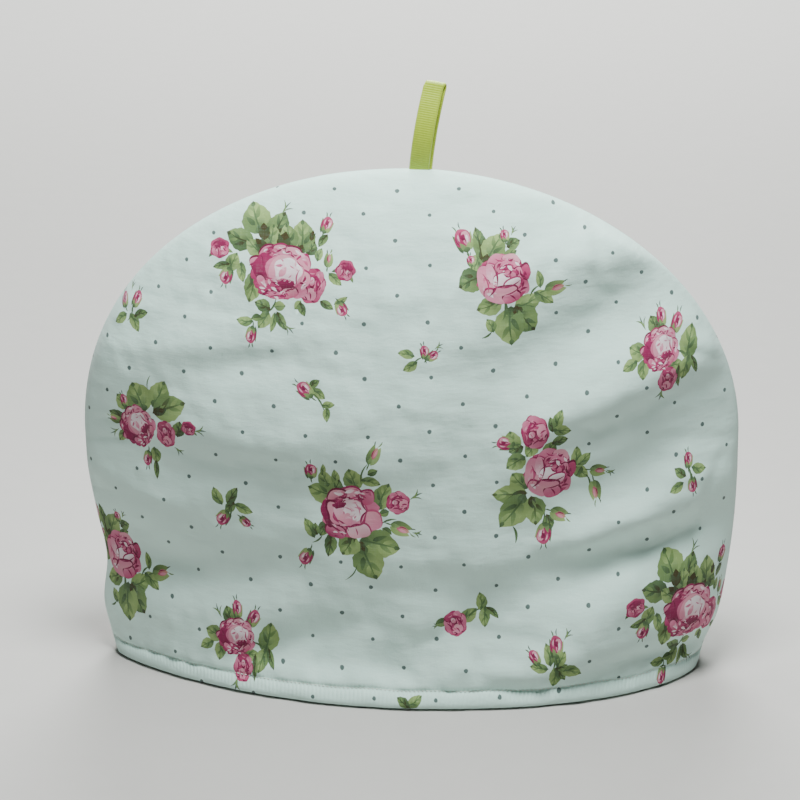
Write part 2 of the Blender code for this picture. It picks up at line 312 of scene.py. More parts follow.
class Wall:
    """One padded wall, as functions from the cloth laid flat to the cloth as it stands."""

    def __init__(self, folds, creases, side, seed):
        self.folds, self.creases, self.side, self.seed = folds, creases, side, seed
        self.lay_flat()

    def depth(self, x, height, inset=0.0, thinner=0.0, folded=True):
        """Distance of a face from the middle plane, before the hem's and creases' relief."""
        left, right = reaches(height, inset)
        middle, half = (right - left) / 2, np.maximum((right + left) / 2, 1e-6)
        across = np.minimum(1.0, np.abs(x - middle) / half)
        end_power = np.where(x < middle, read_sections(DEPTH_SECTIONS, 2, height),
                             read_sections(DEPTH_SECTIONS, 3, height))
        depth = read_sections(DEPTH_SECTIONS, 1, height) - thinner
        depth = depth * (1 + read_sections(DEPTH_SECTIONS, 4, height) * (x - middle) / half)
        narrowing = np.where(height > WIDEST_HEIGHT, half / (WIDEST_REACH - inset), 1.0)
        depth = depth * narrowing ** (2 * end_power)
        room = np.maximum(0.0, 1 - across * across)
        to_seam = room * half * half / (2 * WIDEST_REACH)
        depth = depth * room ** end_power
        if inset == 0.0:
            depth = depth + SEAM_ROLL * (1 - np.exp(-to_seam / SEAM_ROLL_WIDTH))
        if folded:
            fade = np.minimum(1.0, to_seam / FOLD_EDGE_FADE)
            fade = fade * np.minimum(1.0, 0.25 + height / FOLD_HEM_FADE)
            depth = depth + fade * sum(line_profile(x, height, fold) for fold in self.folds)
        return depth, to_seam

    def lay_flat(self):
        """Tables of the arc lengths that join flat places to standing ones."""
        rows, columns = 260, 601
        rise = ARCH_HEIGHT - WIDEST_HEIGHT
        angles = np.linspace(0.0, math.pi / 2, 150)[1:]
        self.heights = np.concatenate([np.linspace(0.0, WIDEST_HEIGHT, rows - 149),
                                       WIDEST_HEIGHT + rise * np.sin(angles)])
        self.heights[-1] = ARCH_HEIGHT - 1e-4
        left, right = reaches(self.heights, 0.0)
        self.middles, self.halves = (right - left) / 2, (right + left) / 2
        across = np.sin(np.linspace(-math.pi / 2, math.pi / 2, columns))
        x = self.middles[:, None] + self.halves[:, None] * across
        depth, _ = self.depth(x, np.repeat(self.heights[:, None], columns, 1), folded=False)
        steps = np.hypot(np.diff(x, axis=1), np.diff(depth, axis=1))
        runs = np.concatenate([np.zeros((len(x), 1)), np.cumsum(steps, axis=1)], axis=1)
        zero = np.array([np.interp(0.0, x[j], runs[j]) for j in range(len(x))])
        self.flat_left, self.flat_right = -zero, runs[:, -1] - zero
        self.shares = np.linspace(0.0, 1.0, 481)
        self.across = np.array([np.interp(self.shares, runs[j] / runs[j, -1], across)
                                for j in range(len(x))])
        profile, _ = self.depth(np.zeros(len(x)), self.heights, folded=False)
        rises = np.hypot(np.diff(self.heights), np.diff(profile))
        self.flat_heights = np.concatenate([[0.0], np.cumsum(rises)])

    def flat_reach(self, up):
        """How far left and right the flat panel reaches at a flat height."""
        return (np.interp(up, self.flat_heights, self.flat_left),
                np.interp(up, self.flat_heights, self.flat_right))

    def standing(self, along, up, edge=None):
        """x, height and share across of flat places. edge marks those on the arch seam."""
        row = np.interp(up, self.flat_heights, np.arange(len(self.heights)))
        low = np.clip(row.astype(int), 0, len(self.heights) - 2)
        part = row - low
        height = self.heights[low] * (1 - part) + self.heights[low + 1] * part
        left, right = self.flat_reach(up)
        share = np.clip((along - left) / np.maximum(right - left, 1e-6), 0.0, 1.0)
        column = share * (len(self.shares) - 1)
        first = np.clip(column.astype(int), 0, len(self.shares) - 2)
        over = column - first
        across = ((self.across[low, first] * (1 - over) + self.across[low, first + 1] * over) * (1 - part)
                  + (self.across[low + 1, first] * (1 - over) + self.across[low + 1, first + 1] * over) * part)
        if edge is not None:
            across = np.where(edge, np.where(share < 0.5, -1.0, 1.0), across)
        return height, across

    def outer(self, along, up, edge=None):
        """Points of the printed face, in millimetres, for flat places."""
        height, across = self.standing(along, up, edge)
        left, right = reaches(height, 0.0)
        x = (right - left) / 2 + (right + left) / 2 * across
        depth, to_seam = self.depth(x, height)
        lift = sum(line_profile(x, height, crease, crease[6]) for crease in self.creases)
        lift = lift + 0.60 * uneven(along, up, 22.0, 60.0, self.seed)
        lift = lift + 0.24 * uneven(along, up, 8.0, 20.0, self.seed + 5)
        lift = lift * np.minimum(1.0, to_seam / CREASE_EDGE_FADE) * np.clip((up - 7.5) / 9.0, 0.0, 1.0)
        most = 0.45 * np.maximum(depth, 1e-3)
        lift = np.where(lift < 0, most * np.tanh(lift / most), lift)
        lift = lift + hem_relief(along, up, self.seed + 10) * np.minimum(1.0, to_seam / 2.0)
        tuck = HEM_ROUND - np.sqrt(np.maximum(0.0, HEM_ROUND ** 2 - np.maximum(0.0, HEM_ROUND - height) ** 2))
        lift = lift - tuck * np.minimum(1.0, to_seam / 2.0)
        depth = np.maximum(depth + lift, 0.0)
        if edge is not None:
            depth = np.where(edge, 0.0, depth)
        return np.stack([x, self.side * (depth + GAP / 2), height], axis=-1)

    def inner(self, along, up, edge=None):
        """Points of the plain inner face for the same flat places."""
        height, across = self.standing(along, up, edge)
        height = height * (ARCH_HEIGHT - SEAM_ALLOWANCE) / ARCH_HEIGHT
        left, right = reaches(height, SEAM_ALLOWANCE)
        x = (right - left) / 2 + (right + left) / 2 * across
        depth, to_seam = self.depth(x, height, SEAM_ALLOWANCE, WALL)
        broad = sum(line_profile(x, height, crease, crease[6]) for crease in self.creases if crease[4] >= 9.0)
        fade = np.minimum(1.0, to_seam / FOLD_EDGE_FADE) * np.clip((up - 7.5) / 9.0, 0.0, 1.0)
        depth = depth + broad * fade
        tuck = HEM_ROUND - np.sqrt(np.maximum(0.0, HEM_ROUND ** 2 - np.maximum(0.0, HEM_ROUND - height) ** 2))
        depth = np.maximum(depth + tuck * np.minimum(1.0, to_seam / 2.0), 0.0)
        if edge is not None:
            depth = np.where(edge, 0.0, depth)
        return np.stack([x, self.side * (depth + GAP / 2), height], axis=-1)


# The print

def srgb(red, green, blue):
    """A linear colour from the usual values of 0 to 255."""
    values = np.array((red, green, blue)) / 255
    return np.where(values <= 0.04045, values / 12.92, ((values + 0.055) / 1.055) ** 2.4)


INKS = {
    "cloth": srgb(209, 238, 229),
    "wine": srgb(102, 12, 54),
    "magenta": srgb(146, 32, 84),
    "rose": srgb(176, 68, 108),
    "pink": srgb(203, 120, 149),
    "blush": srgb(211, 147, 162),
    "pale": srgb(222, 188, 198),
    "petal white": srgb(228, 222, 226),
    "peach": srgb(192, 142, 122),
    "lime": srgb(150, 174, 108),
    "leaf": srgb(122, 148, 88),
    "fern": srgb(90, 117, 72),
    "moss": srgb(62, 82, 54),
    "bark": srgb(62, 55, 26),
    "dot": srgb(90, 108, 104),
}
PRINT_FINENESS = 1.2


class Sketch:
    """A place on the cloth with its own size and turn, where one motif is drawn shape by shape."""

    def __init__(self, shapes, x, y, wide=1.0, tall=1.0, angle=0.0):
        turn = math.radians(angle)
        self.shapes = shapes
        self.origin = np.array((x, y))
        self.axes = np.array(((wide * math.cos(turn), wide * math.sin(turn)),
                              (-tall * math.sin(turn), tall * math.cos(turn))))

    def lay(self, points):
        """Cloth places of points in the motif's own units."""
        return self.origin + np.asarray(points, dtype=float) @ self.axes

    def ink(self, outline, near, far, start, end):
        """One closed shape that fades from the near ink at its start to the far one at its end."""
        after = np.roll(outline, -1, axis=0)
        turning = np.sum(outline[:, 0] * after[:, 1] - after[:, 0] * outline[:, 1])
        self.shapes.append((outline if turning > 0 else outline[::-1], INKS[near], INKS[far or near],
                            np.asarray(start), np.asarray(end)))

    def blob(self, x, y, wide, tall, angle, near, far=None, ruffle=0.0, lobes=5, phase=0.0):
        """A rounded patch. The near ink lies at its foot and the far one at its head."""
        turn = math.radians(angle)
        across, up = np.array((math.cos(turn), math.sin(turn))), np.array((-math.sin(turn), math.cos(turn)))
        size = math.sqrt(abs(np.linalg.det(self.axes)) * wide * tall)
        count = int(np.clip(2 * math.pi * size / PRINT_FINENESS, 9, 30 if ruffle else 24))
        around = 2 * math.pi * np.arange(count) / count + phase
        reach = 1 + ruffle * np.sin(lobes * around + phase)
        reach = reach + 0.5 * ruffle * np.sin((lobes - 2) * around + 2 * phase)
        knots = (np.array((x, y)) + np.outer(wide * reach * np.cos(around), across)
                 + np.outer(tall * reach * np.sin(around), up))
        self.ink(self.lay(knots), near, far, self.lay(np.array((x, y)) - tall * up),
                 self.lay(np.array((x, y)) + tall * up))

    def drop(self, x, y, length, width, angle, near, far=None, belly=0.45, bend=0.0):
        """A pointed patch about its middle, such as a leaf or sepal, widest at the belly."""
        turn = math.radians(angle)
        ahead, aside = np.array((math.cos(turn), math.sin(turn))), np.array((-math.sin(turn), math.cos(turn)))
        size = math.sqrt(abs(np.linalg.det(self.axes))) * length
        count = int(np.clip(size / PRINT_FINENESS, 3, 10))
        part = np.linspace(0.0, 1.0, count + 1)
        warped = part ** (math.log(0.5) / math.log(belly))
        half = 0.5 * width * np.sin(np.pi * warped) ** 0.85
        middle = (part - 0.5) * length
        sway = 4 * bend * length * part * (1 - part)
        left = np.outer(middle, ahead) + np.outer(sway + half, aside)
        right = np.outer(middle, ahead) + np.outer(sway - half, aside)
        knots = np.array((x, y)) + np.concatenate([right, left[-2:0:-1]])
        self.ink(self.lay(knots), near, far, self.lay(knots[0]), self.lay(knots[count]))

    def line(self, x0, y0, x1, y1, bend, width, near, far=None):
        """A brush line that swells at its middle. Its width is in millimetres of cloth."""
        ends = self.lay(((x0, y0), (x1, y1)))
        run = ends[1] - ends[0]
        length = math.hypot(*run)
        aside = np.array((-run[1], run[0])) / length
        count = int(np.clip(length / 1.3, 3, 9))
        part = np.linspace(0.0, 1.0, count + 1)
        spine = ends[0] + np.outer(part, run) + np.outer(4 * bend * length * part * (1 - part), aside)
        half = np.outer(0.5 * width * np.sin(np.pi * (0.06 + 0.88 * part)), aside)
        self.ink(np.concatenate([spine - half, (spine + half)[::-1]]), near, far, ends[0], ends[1])

    def dabs(self, seed, count, inks, x, y, wide, tall, size):
        """Short brush strokes strewn over an oval, most of them lying round the motif's middle."""
        random = np.random.default_rng(seed)
        for _ in range(count):
            turn, reach = random.uniform(0, 2 * math.pi), math.sqrt(random.uniform(0, 1))
            across, up = x + wide * reach * math.cos(turn), y + tall * reach * math.sin(turn)
            lie = math.degrees(math.atan2(up, across)) + 90 + random.uniform(-45, 45)
            length, (near, far) = size * random.uniform(0.6, 1.5), inks[random.integers(len(inks))]
            self.drop(across, up, length, length * random.uniform(0.26, 0.46), lie, near, far, 0.45,
                      random.uniform(-0.2, 0.2))

    def petal(self, x, y, wide, tall, angle, near, far, shade="magenta", shade_x=0.0, shade_y=0.05,
              ruffle=0.05):
        """A petal over its own shadow."""
        self.blob(x + shade_x, y + shade_y, wide * 1.09, tall * 1.1, angle, shade, None, ruffle, 4, x + 3 * y)
        self.blob(x, y, wide, tall, angle, near, far, ruffle, 4, x + 3 * y)


ROSE_STROKES = (
    ("wine", "magenta"), ("magenta", "rose"), ("pink", "pale"), ("rose", "pink"), ("pale", "petal white"),
)
DARK_STROKES = (("wine", "magenta"), ("magenta", "wine"), ("magenta", "rose"))
DEEP_STROKES = (
    ("wine", "magenta"), ("magenta", "rose"), ("rose", "pink"), ("pink", "blush"), ("wine", "rose"),
)
LIGHT_STROKES = (("pink", "pale"), ("pale", "petal white"), ("rose", "pink"))


def cup_rose(shapes, x, y, length, width, angle):
    """An open rose: a wide pale cup, a dark left side and a frill with the dark heart below it."""
    draw = Sketch(shapes, x, y, length / 2, width / 2, angle)
    draw.blob(0.0, 0.0, 0.93, 0.93, 0, "magenta", "rose", 0.06, 9)
    draw.petal(-0.38, 0.68, 0.34, 0.24, 26, "rose", "pink", "wine")
    draw.petal(0.02, 0.80, 0.28, 0.19, -6, "pink", "blush", "magenta")
    draw.petal(0.44, 0.72, 0.30, 0.22, -28, "pink", "blush", "wine")
    draw.petal(0.76, 0.34, 0.24, 0.34, -16, "blush", "pink", "magenta")
    draw.petal(0.82, -0.12, 0.19, 0.28, 6, "pink", "blush", "magenta")
    draw.petal(-0.80, 0.26, 0.22, 0.24, 40, "rose", "pink", "wine")
    draw.petal(-0.84, -0.10, 0.14, 0.20, -10, "magenta", "rose", "wine")
    draw.petal(0.62, -0.58, 0.30, 0.26, 40, "pink", "rose", "wine")
    draw.dabs(5, 30, ROSE_STROKES, 0.10, 0.74, 0.70, 0.20, 0.20)
    draw.dabs(4, 12, ROSE_STROKES, 0.78, 0.04, 0.14, 0.50, 0.20)
    draw.dabs(3, 10, DARK_STROKES, -0.74, 0.22, 0.22, 0.24, 0.24)
    draw.blob(-0.44, 0.02, 0.44, 0.64, 12, "wine", "magenta", 0.06, 5)
    draw.blob(0.16, 0.06, 0.64, 0.62, 0, "rose", "pink", 0.04, 5)
    draw.blob(0.20, 0.08, 0.58, 0.56, 0, "pink", "blush", 0.03, 4)
    draw.blob(0.27, 0.10, 0.46, 0.46, -12, "pale", "petal white", 0.06, 5)
    draw.drop(0.00, 0.14, 0.56, 0.24, 62, "petal white", "pale", 0.5, -0.1)
    draw.drop(0.10, 0.06, 0.44, 0.22, 58, "pink", "blush", 0.45)
    draw.drop(0.40, 0.30, 0.50, 0.16, -42, "petal white", "pale", 0.5, 0.1)
    draw.dabs(6, 10, LIGHT_STROKES, 0.22, 0.22, 0.40, 0.30, 0.20)
    draw.blob(-0.14, -0.56, 0.64, 0.36, -4, "magenta", "rose", 0.09, 7)
    draw.petal(-0.58, -0.36, 0.14, 0.26, 30, "rose", "pink", "wine")
    draw.petal(0.34, -0.68, 0.28, 0.20, 20, "rose", "blush", "wine")
    draw.petal(-0.12, -0.80, 0.32, 0.14, -4, "rose", "pink", "wine")
    draw.dabs(7, 52, ROSE_STROKES, -0.14, -0.54, 0.60, 0.36, 0.18)
    draw.blob(0.24, -0.36, 0.30, 0.17, 8, "wine", "magenta", 0.12, 5)
    draw.dabs(8, 7, ROSE_STROKES, 0.24, -0.24, 0.30, 0.06, 0.16)
    draw.line(-0.66, 0.60, -0.66, 0.02, 0.16, 0.9, "wine", "magenta")
    draw.line(0.56, 0.50, 0.78, 0.30, -0.12, 0.7, "magenta")
    draw.line(0.66, 0.20, 0.60, -0.40, -0.14, 0.8, "rose", "magenta")
    draw.line(0.24, -0.56, 0.60, -0.40, -0.12, 0.8, "wine", "magenta")
    draw.line(-0.30, -0.86, 0.20, -0.86, 0.10, 0.7, "wine", "magenta")


def round_rose(shapes, x, y, length, width, angle):
    """A full rose of overlapping petals, dark round its heart and at its right side."""
    draw = Sketch(shapes, x, y, length / 2, width / 2, angle)
    draw.blob(0.0, 0.0, 0.93, 0.93, 0, "magenta", "rose", 0.07, 8)
    draw.petal(-0.60, -0.10, 0.38, 0.62, 14, "blush", "pink", "magenta", 0.05, 0.0)
    draw.petal(-0.26, 0.66, 0.38, 0.28, 22, "rose", "pink", "wine", 0.0, -0.04)
    draw.petal(0.26, 0.72, 0.34, 0.22, -12, "pink", "blush", "wine", 0.0, -0.04)
    draw.petal(0.76, 0.20, 0.22, 0.34, -16, "magenta", "rose", "wine", -0.03)
    draw.petal(0.70, -0.34, 0.26, 0.32, 20, "pink", "rose", "wine", -0.04)
    draw.petal(-0.30, -0.68, 0.44, 0.25, -24, "pink", "blush", "magenta", 0.0, 0.05)
    draw.petal(0.30, -0.74, 0.34, 0.23, 22, "rose", "pink", "wine", 0.0, 0.06)
    draw.dabs(11, 18, DARK_STROKES, 0.58, -0.20, 0.30, 0.62, 0.28)
    draw.petal(-0.42, 0.20, 0.22, 0.42, 22, "pale", "pink", "magenta", 0.04, 0.0)
    draw.petal(0.14, 0.42, 0.46, 0.34, -8, "rose", "pink", "wine", 0.0, -0.03)
    draw.blob(0.14, 0.30, 0.32, 0.26, -14, "wine", "magenta", 0.10, 5)
    draw.petal(0.46, 0.14, 0.20, 0.34, -24, "rose", "pink", "wine", -0.04, 0.0)
    draw.petal(-0.08, -0.10, 0.34, 0.30, 20, "pale", "petal white", "magenta", 0.02, 0.04)
    draw.petal(0.32, -0.20, 0.36, 0.20, 30, "pink", "petal white", "magenta", -0.02, 0.04)
    draw.petal(0.06, -0.46, 0.46, 0.18, 8, "blush", "pink", "wine", 0.0, 0.05)
    draw.dabs(12, 20, ROSE_STROKES, 0.16, 0.44, 0.40, 0.30, 0.24)
    draw.dabs(13, 9, LIGHT_STROKES, -0.50, -0.20, 0.26, 0.50, 0.22)
    draw.blob(0.12, 0.28, 0.10, 0.08, 20, "pink", "rose")
    draw.line(0.00, 0.18, 0.30, 0.12, -0.20, 0.9, "wine", "magenta")
    draw.line(-0.08, 0.46, 0.38, 0.48, 0.16, 0.9, "wine", "magenta")
    draw.line(-0.46, 0.54, -0.24, -0.24, 0.12, 1.0, "magenta", "wine")
    draw.line(-0.78, 0.20, -0.56, -0.50, 0.12, 0.8, "magenta", "rose")
    draw.line(-0.24, -0.24, -0.52, -0.66, 0.06, 1.0, "magenta", "wine")
    draw.line(-0.20, -0.32, 0.62, -0.04, -0.12, 0.9, "magenta", "wine")
    draw.line(0.02, -0.62, 0.58, -0.34, -0.10, 0.8, "magenta", "wine")
    draw.line(0.60, 0.34, 0.82, 0.04, -0.22, 1.2, "wine")
    draw.line(0.22, -0.62, 0.46, -0.86, 0.08, 0.9, "wine", "magenta")
    draw.line(-0.34, 0.76, 0.04, 0.72, -0.16, 0.7, "magenta")
    draw.line(-0.62, 0.02, -0.50, -0.20, 0.10, 0.6, "wine", "magenta")


def open_rose(shapes, x, y, length, width, angle):
    """An open rose with a small heart high at its left and a pale middle ringed by dark strokes."""
    draw = Sketch(shapes, x, y, length / 2, width / 2, angle)
    draw.blob(0.0, 0.0, 0.93, 0.94, 0, "rose", "pink", 0.06, 8)
    draw.petal(0.68, -0.30, 0.34, 0.36, 24, "pink", "blush", "rose")
    draw.petal(0.20, -0.68, 0.40, 0.28, 8, "blush", "pale", "magenta")
    draw.petal(-0.58, -0.66, 0.36, 0.24, -34, "magenta", "pink", "wine")
    draw.petal(0.10, 0.72, 0.38, 0.26, -6, "pink", "blush", "magenta")
    draw.petal(0.58, 0.56, 0.26, 0.30, -30, "rose", "pink", "magenta")
    draw.petal(-0.40, 0.64, 0.34, 0.26, 28, "rose", "blush", "wine")
    draw.blob(-0.74, 0.02, 0.24, 0.52, 10, "wine", "magenta", 0.06, 5)
    draw.petal(-0.56, 0.02, 0.20, 0.44, 12, "pink", "blush", "wine", -0.03)
    draw.blob(-0.02, 0.02, 0.58, 0.56, 0, "magenta", "rose", 0.05, 6)
    draw.blob(-0.03, 0.04, 0.53, 0.52, 0, "pink", "pale", 0.04, 5)
    draw.blob(0.08, 0.10, 0.38, 0.40, -14, "petal white", "pale", 0.10, 5)
    draw.blob(-0.20, -0.24, 0.26, 0.24, 30, "pink", "blush", 0.05, 4)
    draw.dabs(21, 14, LIGHT_STROKES, 0.06, 0.02, 0.40, 0.40, 0.24)
    draw.blob(-0.36, 0.30, 0.24, 0.12, 6, "wine", "magenta", 0.14, 5)
    draw.dabs(22, 14, DARK_STROKES, -0.02, 0.56, 0.60, 0.14, 0.20)
    draw.dabs(23, 16, ROSE_STROKES, 0.14, 0.72, 0.60, 0.18, 0.24)
    draw.line(0.42, 0.66, 0.56, 0.04, -0.14, 1.1, "magenta", "wine")
    draw.line(0.56, 0.06, 0.30, -0.46, -0.16, 1.1, "wine", "magenta")
    draw.line(0.34, -0.44, -0.10, -0.52, -0.10, 0.9, "magenta", "wine")
    draw.line(-0.52, -0.20, -0.14, -0.66, 0.12, 0.9, "magenta", "wine")
    draw.line(-0.84, 0.30, -0.78, -0.36, 0.10, 1.1, "wine")
    draw.line(-0.70, -0.44, -0.34, -0.84, 0.08, 1.0, "wine", "magenta")
    draw.line(-0.20, 0.20, 0.06, 0.06, 0.10, 0.6, "rose", "pink")
    draw.line(0.16, 0.40, 0.30, -0.10, 0.10, 0.7, "pink", "rose")
    draw.line(0.10, -0.56, 0.14, -0.84, 0.06, 0.7, "rose", "magenta")
    draw.dabs(24, 10, ROSE_STROKES, -0.52, -0.58, 0.30, 0.26, 0.20)


def side_rose(shapes, x, y, length, width, angle):
    """A half open rose seen from its side."""
    draw = Sketch(shapes, x, y, length / 2, width / 2, angle)
    draw.blob(0.0, 0.0, 0.90, 0.94, 0, "rose", "magenta", 0.06, 6)
    draw.petal(0.46, -0.10, 0.42, 0.66, -12, "rose", "pink", "wine", -0.06, 0.0)
    draw.petal(-0.44, -0.12, 0.42, 0.66, 14, "rose", "pink", "wine", 0.05, 0.0)
    draw.petal(-0.18, 0.56, 0.44, 0.32, 14, "magenta", "rose", "wine", 0.0, -0.04)
    draw.petal(0.38, 0.54, 0.32, 0.30, -24, "rose", "pink", "wine", 0.0, -0.04)
    draw.blob(0.12, 0.12, 0.40, 0.44, -10, "wine", "magenta", 0.08, 5)
    draw.petal(-0.06, 0.22, 0.18, 0.24, 20, "rose", "pale", "wine", 0.03, 0.0)
    draw.petal(0.00, -0.44, 0.48, 0.34, 4, "pink", "blush", "wine", 0.0, 0.05)
    draw.dabs(31, 22, DEEP_STROKES, 0.04, 0.06, 0.62, 0.60, 0.28)
    draw.line(0.20, 0.34, 0.34, -0.06, -0.14, 0.7, "pink", "rose")
    draw.line(-0.62, 0.22, -0.40, -0.46, 0.12, 0.8, "wine", "magenta")
    draw.line(0.58, 0.22, 0.50, -0.46, -0.14, 0.9, "wine", "magenta")
    draw.line(-0.06, -0.34, 0.10, -0.72, 0.10, 0.8, "magenta", "wine")
    draw.line(-0.36, 0.62, 0.02, 0.66, -0.14, 0.6, "pink")
    draw.line(-0.36, -0.60, -0.10, -0.80, 0.08, 0.7, "wine")


def small_rose(shapes, x, y, length, width, angle):
    """A small deep rose with a few lighter strokes."""
    draw = Sketch(shapes, x, y, length / 2, width / 2, angle)
    draw.drop(-0.86, -0.30, 0.80, 0.36, 214, "fern", "moss", 0.4)
    draw.drop(0.80, -0.46, 0.80, 0.34, 318, "leaf", "fern", 0.4)
    draw.blob(0.0, 0.0, 0.92, 0.90, 0, "magenta", "rose", 0.07, 6)
    draw.petal(-0.34, -0.24, 0.44, 0.50, 24, "rose", "pink", "wine")
    draw.petal(0.40, -0.30, 0.38, 0.42, -20, "pink", "rose", "wine")
    draw.blob(0.06, 0.30, 0.56, 0.42, -10, "wine", "magenta", 0.10, 5)
    draw.dabs(41, 18, DEEP_STROKES, 0.0, 0.08, 0.66, 0.62, 0.36)
    draw.blob(0.26, -0.10, 0.16, 0.20, 0, "blush", "pale", 0.10, 4)
    draw.line(-0.60, 0.36, 0.50, 0.52, 0.14, 0.8, "wine", "magenta")
    draw.line(-0.20, 0.10, -0.30, -0.66, 0.14, 0.8, "wine", "magenta")
    draw.line(0.30, 0.10, 0.58, -0.46, -0.14, 0.7, "magenta", "wine")


def bud(shapes, x, y, length, width, angle):
    """A pink bud that points along the angle, held by green sepals, with fine tips past it."""
    draw = Sketch(shapes, x, y, width / 2, length / 2, angle - 90)
    draw.line(0.05, -1.75, 0.0, -0.80, 0.08, 0.8, "moss", "fern")
    draw.drop(-0.70, -0.24, 1.90, 0.66, 102, "moss", "fern", 0.40, -0.06)
    draw.drop(0.74, -0.30, 1.70, 0.64, 70, "leaf", "lime", 0.40, 0.06)
    draw.blob(0.0, 0.10, 0.86, 0.90, 0, "magenta", "rose", 0.05, 4)
    draw.blob(-0.28, 0.16, 0.42, 0.70, 10, "magenta", "rose")
    draw.blob(0.36, 0.04, 0.38, 0.66, -12, "pink", "blush")
    draw.blob(0.42, -0.02, 0.15, 0.36, -12, "pale", "petal white")
    draw.blob(0.02, 0.32, 0.28, 0.42, 8, "wine", "magenta")
    draw.drop(-0.34, 0.24, 0.76, 0.20, 84, "pink", "pale", 0.5, 0.1)
    draw.drop(0.16, 0.56, 0.46, 0.20, 30, "pink", "blush", 0.5)
    draw.line(-0.56, -0.40, -0.58, 0.50, 0.14, 0.6, "wine", "magenta")
    draw.line(0.14, -0.40, 0.12, 0.26, -0.14, 0.6, "wine", "magenta")
    draw.drop(-0.26, -0.66, 1.05, 0.52, 114, "fern", "leaf", 0.40)
    draw.drop(0.32, -0.70, 0.95, 0.50, 58, "leaf", "lime", 0.40)
    draw.blob(0.0, -0.96, 0.38, 0.24, 0, "moss", "fern")
    draw.line(-0.36, 0.82, -0.62, 1.46, -0.10, 0.7, "fern", "moss")
    draw.line(0.12, 0.96, 0.20, 1.64, 0.10, 0.65, "moss", "dot")


def green_bud(shapes, x, y, length, width, angle):
    """A closed bud that shows a strip of petal between its sepals."""
    draw = Sketch(shapes, x, y, width / 2, length / 2, angle - 90)
    draw.line(0.0, -1.60, 0.0, -0.85, 0.06, 0.8, "moss", "fern")
    draw.drop(-0.34, -0.02, 2.05, 1.25, 99, "moss", "leaf", 0.42)
    draw.drop(0.36, -0.04, 2.00, 1.20, 81, "leaf", "lime", 0.42)
    draw.drop(0.04, 0.18, 1.35, 0.80, 88, "rose", "peach", 0.50)
    draw.drop(0.18, 0.20, 0.90, 0.36, 84, "pink", "blush", 0.50)
    draw.line(-0.10, -0.30, -0.14, 0.62, 0.10, 0.6, "wine", "magenta")
    draw.drop(-0.12, -0.62, 0.90, 0.60, 95, "fern", "leaf", 0.40)
    draw.line(0.10, 0.86, 0.38, 1.50, -0.10, 0.7, "leaf", "fern")
    draw.line(-0.30, 0.80, -0.52, 1.30, 0.10, 0.65, "moss")


def leaf(shapes, x, y, length, width, angle, tones=("fern", "leaf", "lime", "moss")):
    """A broad leaf about its middle, light on one side of its rib and dark on the other."""
    draw = Sketch(shapes, x, y, 1.0, 1.0, angle)
    length, width = 1.13 * length, 1.30 * width
    dark, middle, light, deep = tones
    tooth = 0.022 * width
    bend = 0.06 * math.sin(3.1 * x + 1.7 * y)
    flip = 1.0 if math.sin(1.3 * x - 2.3 * y) > 0 else -1.0
    count = int(np.clip(length / 1.1, 4, 13))
    part = np.linspace(0.0, 1.0, count + 1)
    half = 0.5 * width * np.sin(np.pi * part ** 0.86) ** 0.78
    half[1:-1] += tooth * np.sin(2.3 * np.arange(1, count) + x) * (width > 4.5)
    along = (part - 0.5) * length
    rib = 4 * bend * length * part * (1 - part)
    near_side = np.stack([along, rib + flip * half], axis=1)
    far_side = np.stack([along, rib - flip * half], axis=1)
    spine = np.stack([along, rib], axis=1)
    ends = draw.lay(((-length / 2, 0.0), (length / 2, 0.0)))
    draw.ink(draw.lay(np.concatenate([near_side, far_side[-2:0:-1]])), middle, light, ends[0], ends[1])
    draw.ink(draw.lay(np.concatenate([spine, far_side[-2:0:-1]])), dark, middle, ends[0], ends[1])
    if length > 6.5:
        side = flip * width
        draw.drop(-0.10 * length, rib[count // 2] + 0.17 * side, 0.42 * length, 0.22 * width, flip * 34,
                  dark, light, 0.35)
        draw.drop(0.16 * length, rib[count // 2] + 0.13 * side, 0.38 * length, 0.16 * width, flip * 28,
                  dark, middle, 0.35)
        draw.drop(-0.02 * length, rib[count // 2] - 0.20 * side, 0.40 * length, 0.17 * width, -flip * 30,
                  deep, dark, 0.35)
        draw.drop(0.22 * length, rib[count // 2] - 0.12 * side, 0.34 * length, 0.15 * width, -flip * 24,
                  light, middle, 0.40)
        draw.drop(-0.36 * length, rib[1], 0.30 * length, 0.34 * width, 0, deep, dark, 0.45)
    draw.line(-0.52 * length, 0.0, 0.36 * length, 0.0, bend, 0.10 + 0.05 * length, deep, dark)
    draw.drop(0.42 * length, 0.0, 0.18 * length, 0.16 * width, 0, dark, deep, 0.40)


def deep_leaf(shapes, x, y, length, width, angle):
    """A leaf in the darker greens."""
    leaf(shapes, x, y, length, width, angle, ("moss", "fern", "leaf", "bark"))


def bark_leaf(shapes, x, y, length, width, angle):
    """A leaf with a brown shadow where it meets its stem."""
    leaf(shapes, x, y, length, width, angle, ("fern", "leaf", "lime", "bark"))
    draw = Sketch(shapes, x, y, 1.0, 1.0, angle)
    draw.drop(-0.30 * length, 0.0, 0.46 * length, 0.46 * width, 0, "bark", "moss", 0.42)
    draw.drop(-0.24 * length, 0.12 * width, 0.36 * length, 0.14 * width, 14, "fern", "leaf", 0.42)


def shadow(shapes, x, y, length, width, angle):
    """A brown hollow between leaves, with three points."""
    draw = Sketch(shapes, x, y, 1.0, 1.0, angle)
    draw.drop(0.0, 0.0, length, width, 0, "bark", "bark", 0.40)
    draw.drop(-0.05 * length, 0.20 * width, 0.85 * length, 0.45 * width, 32, "bark", "moss", 0.40)
    draw.drop(-0.05 * length, -0.20 * width, 0.80 * length, 0.45 * width, -30, "bark", "moss", 0.40)


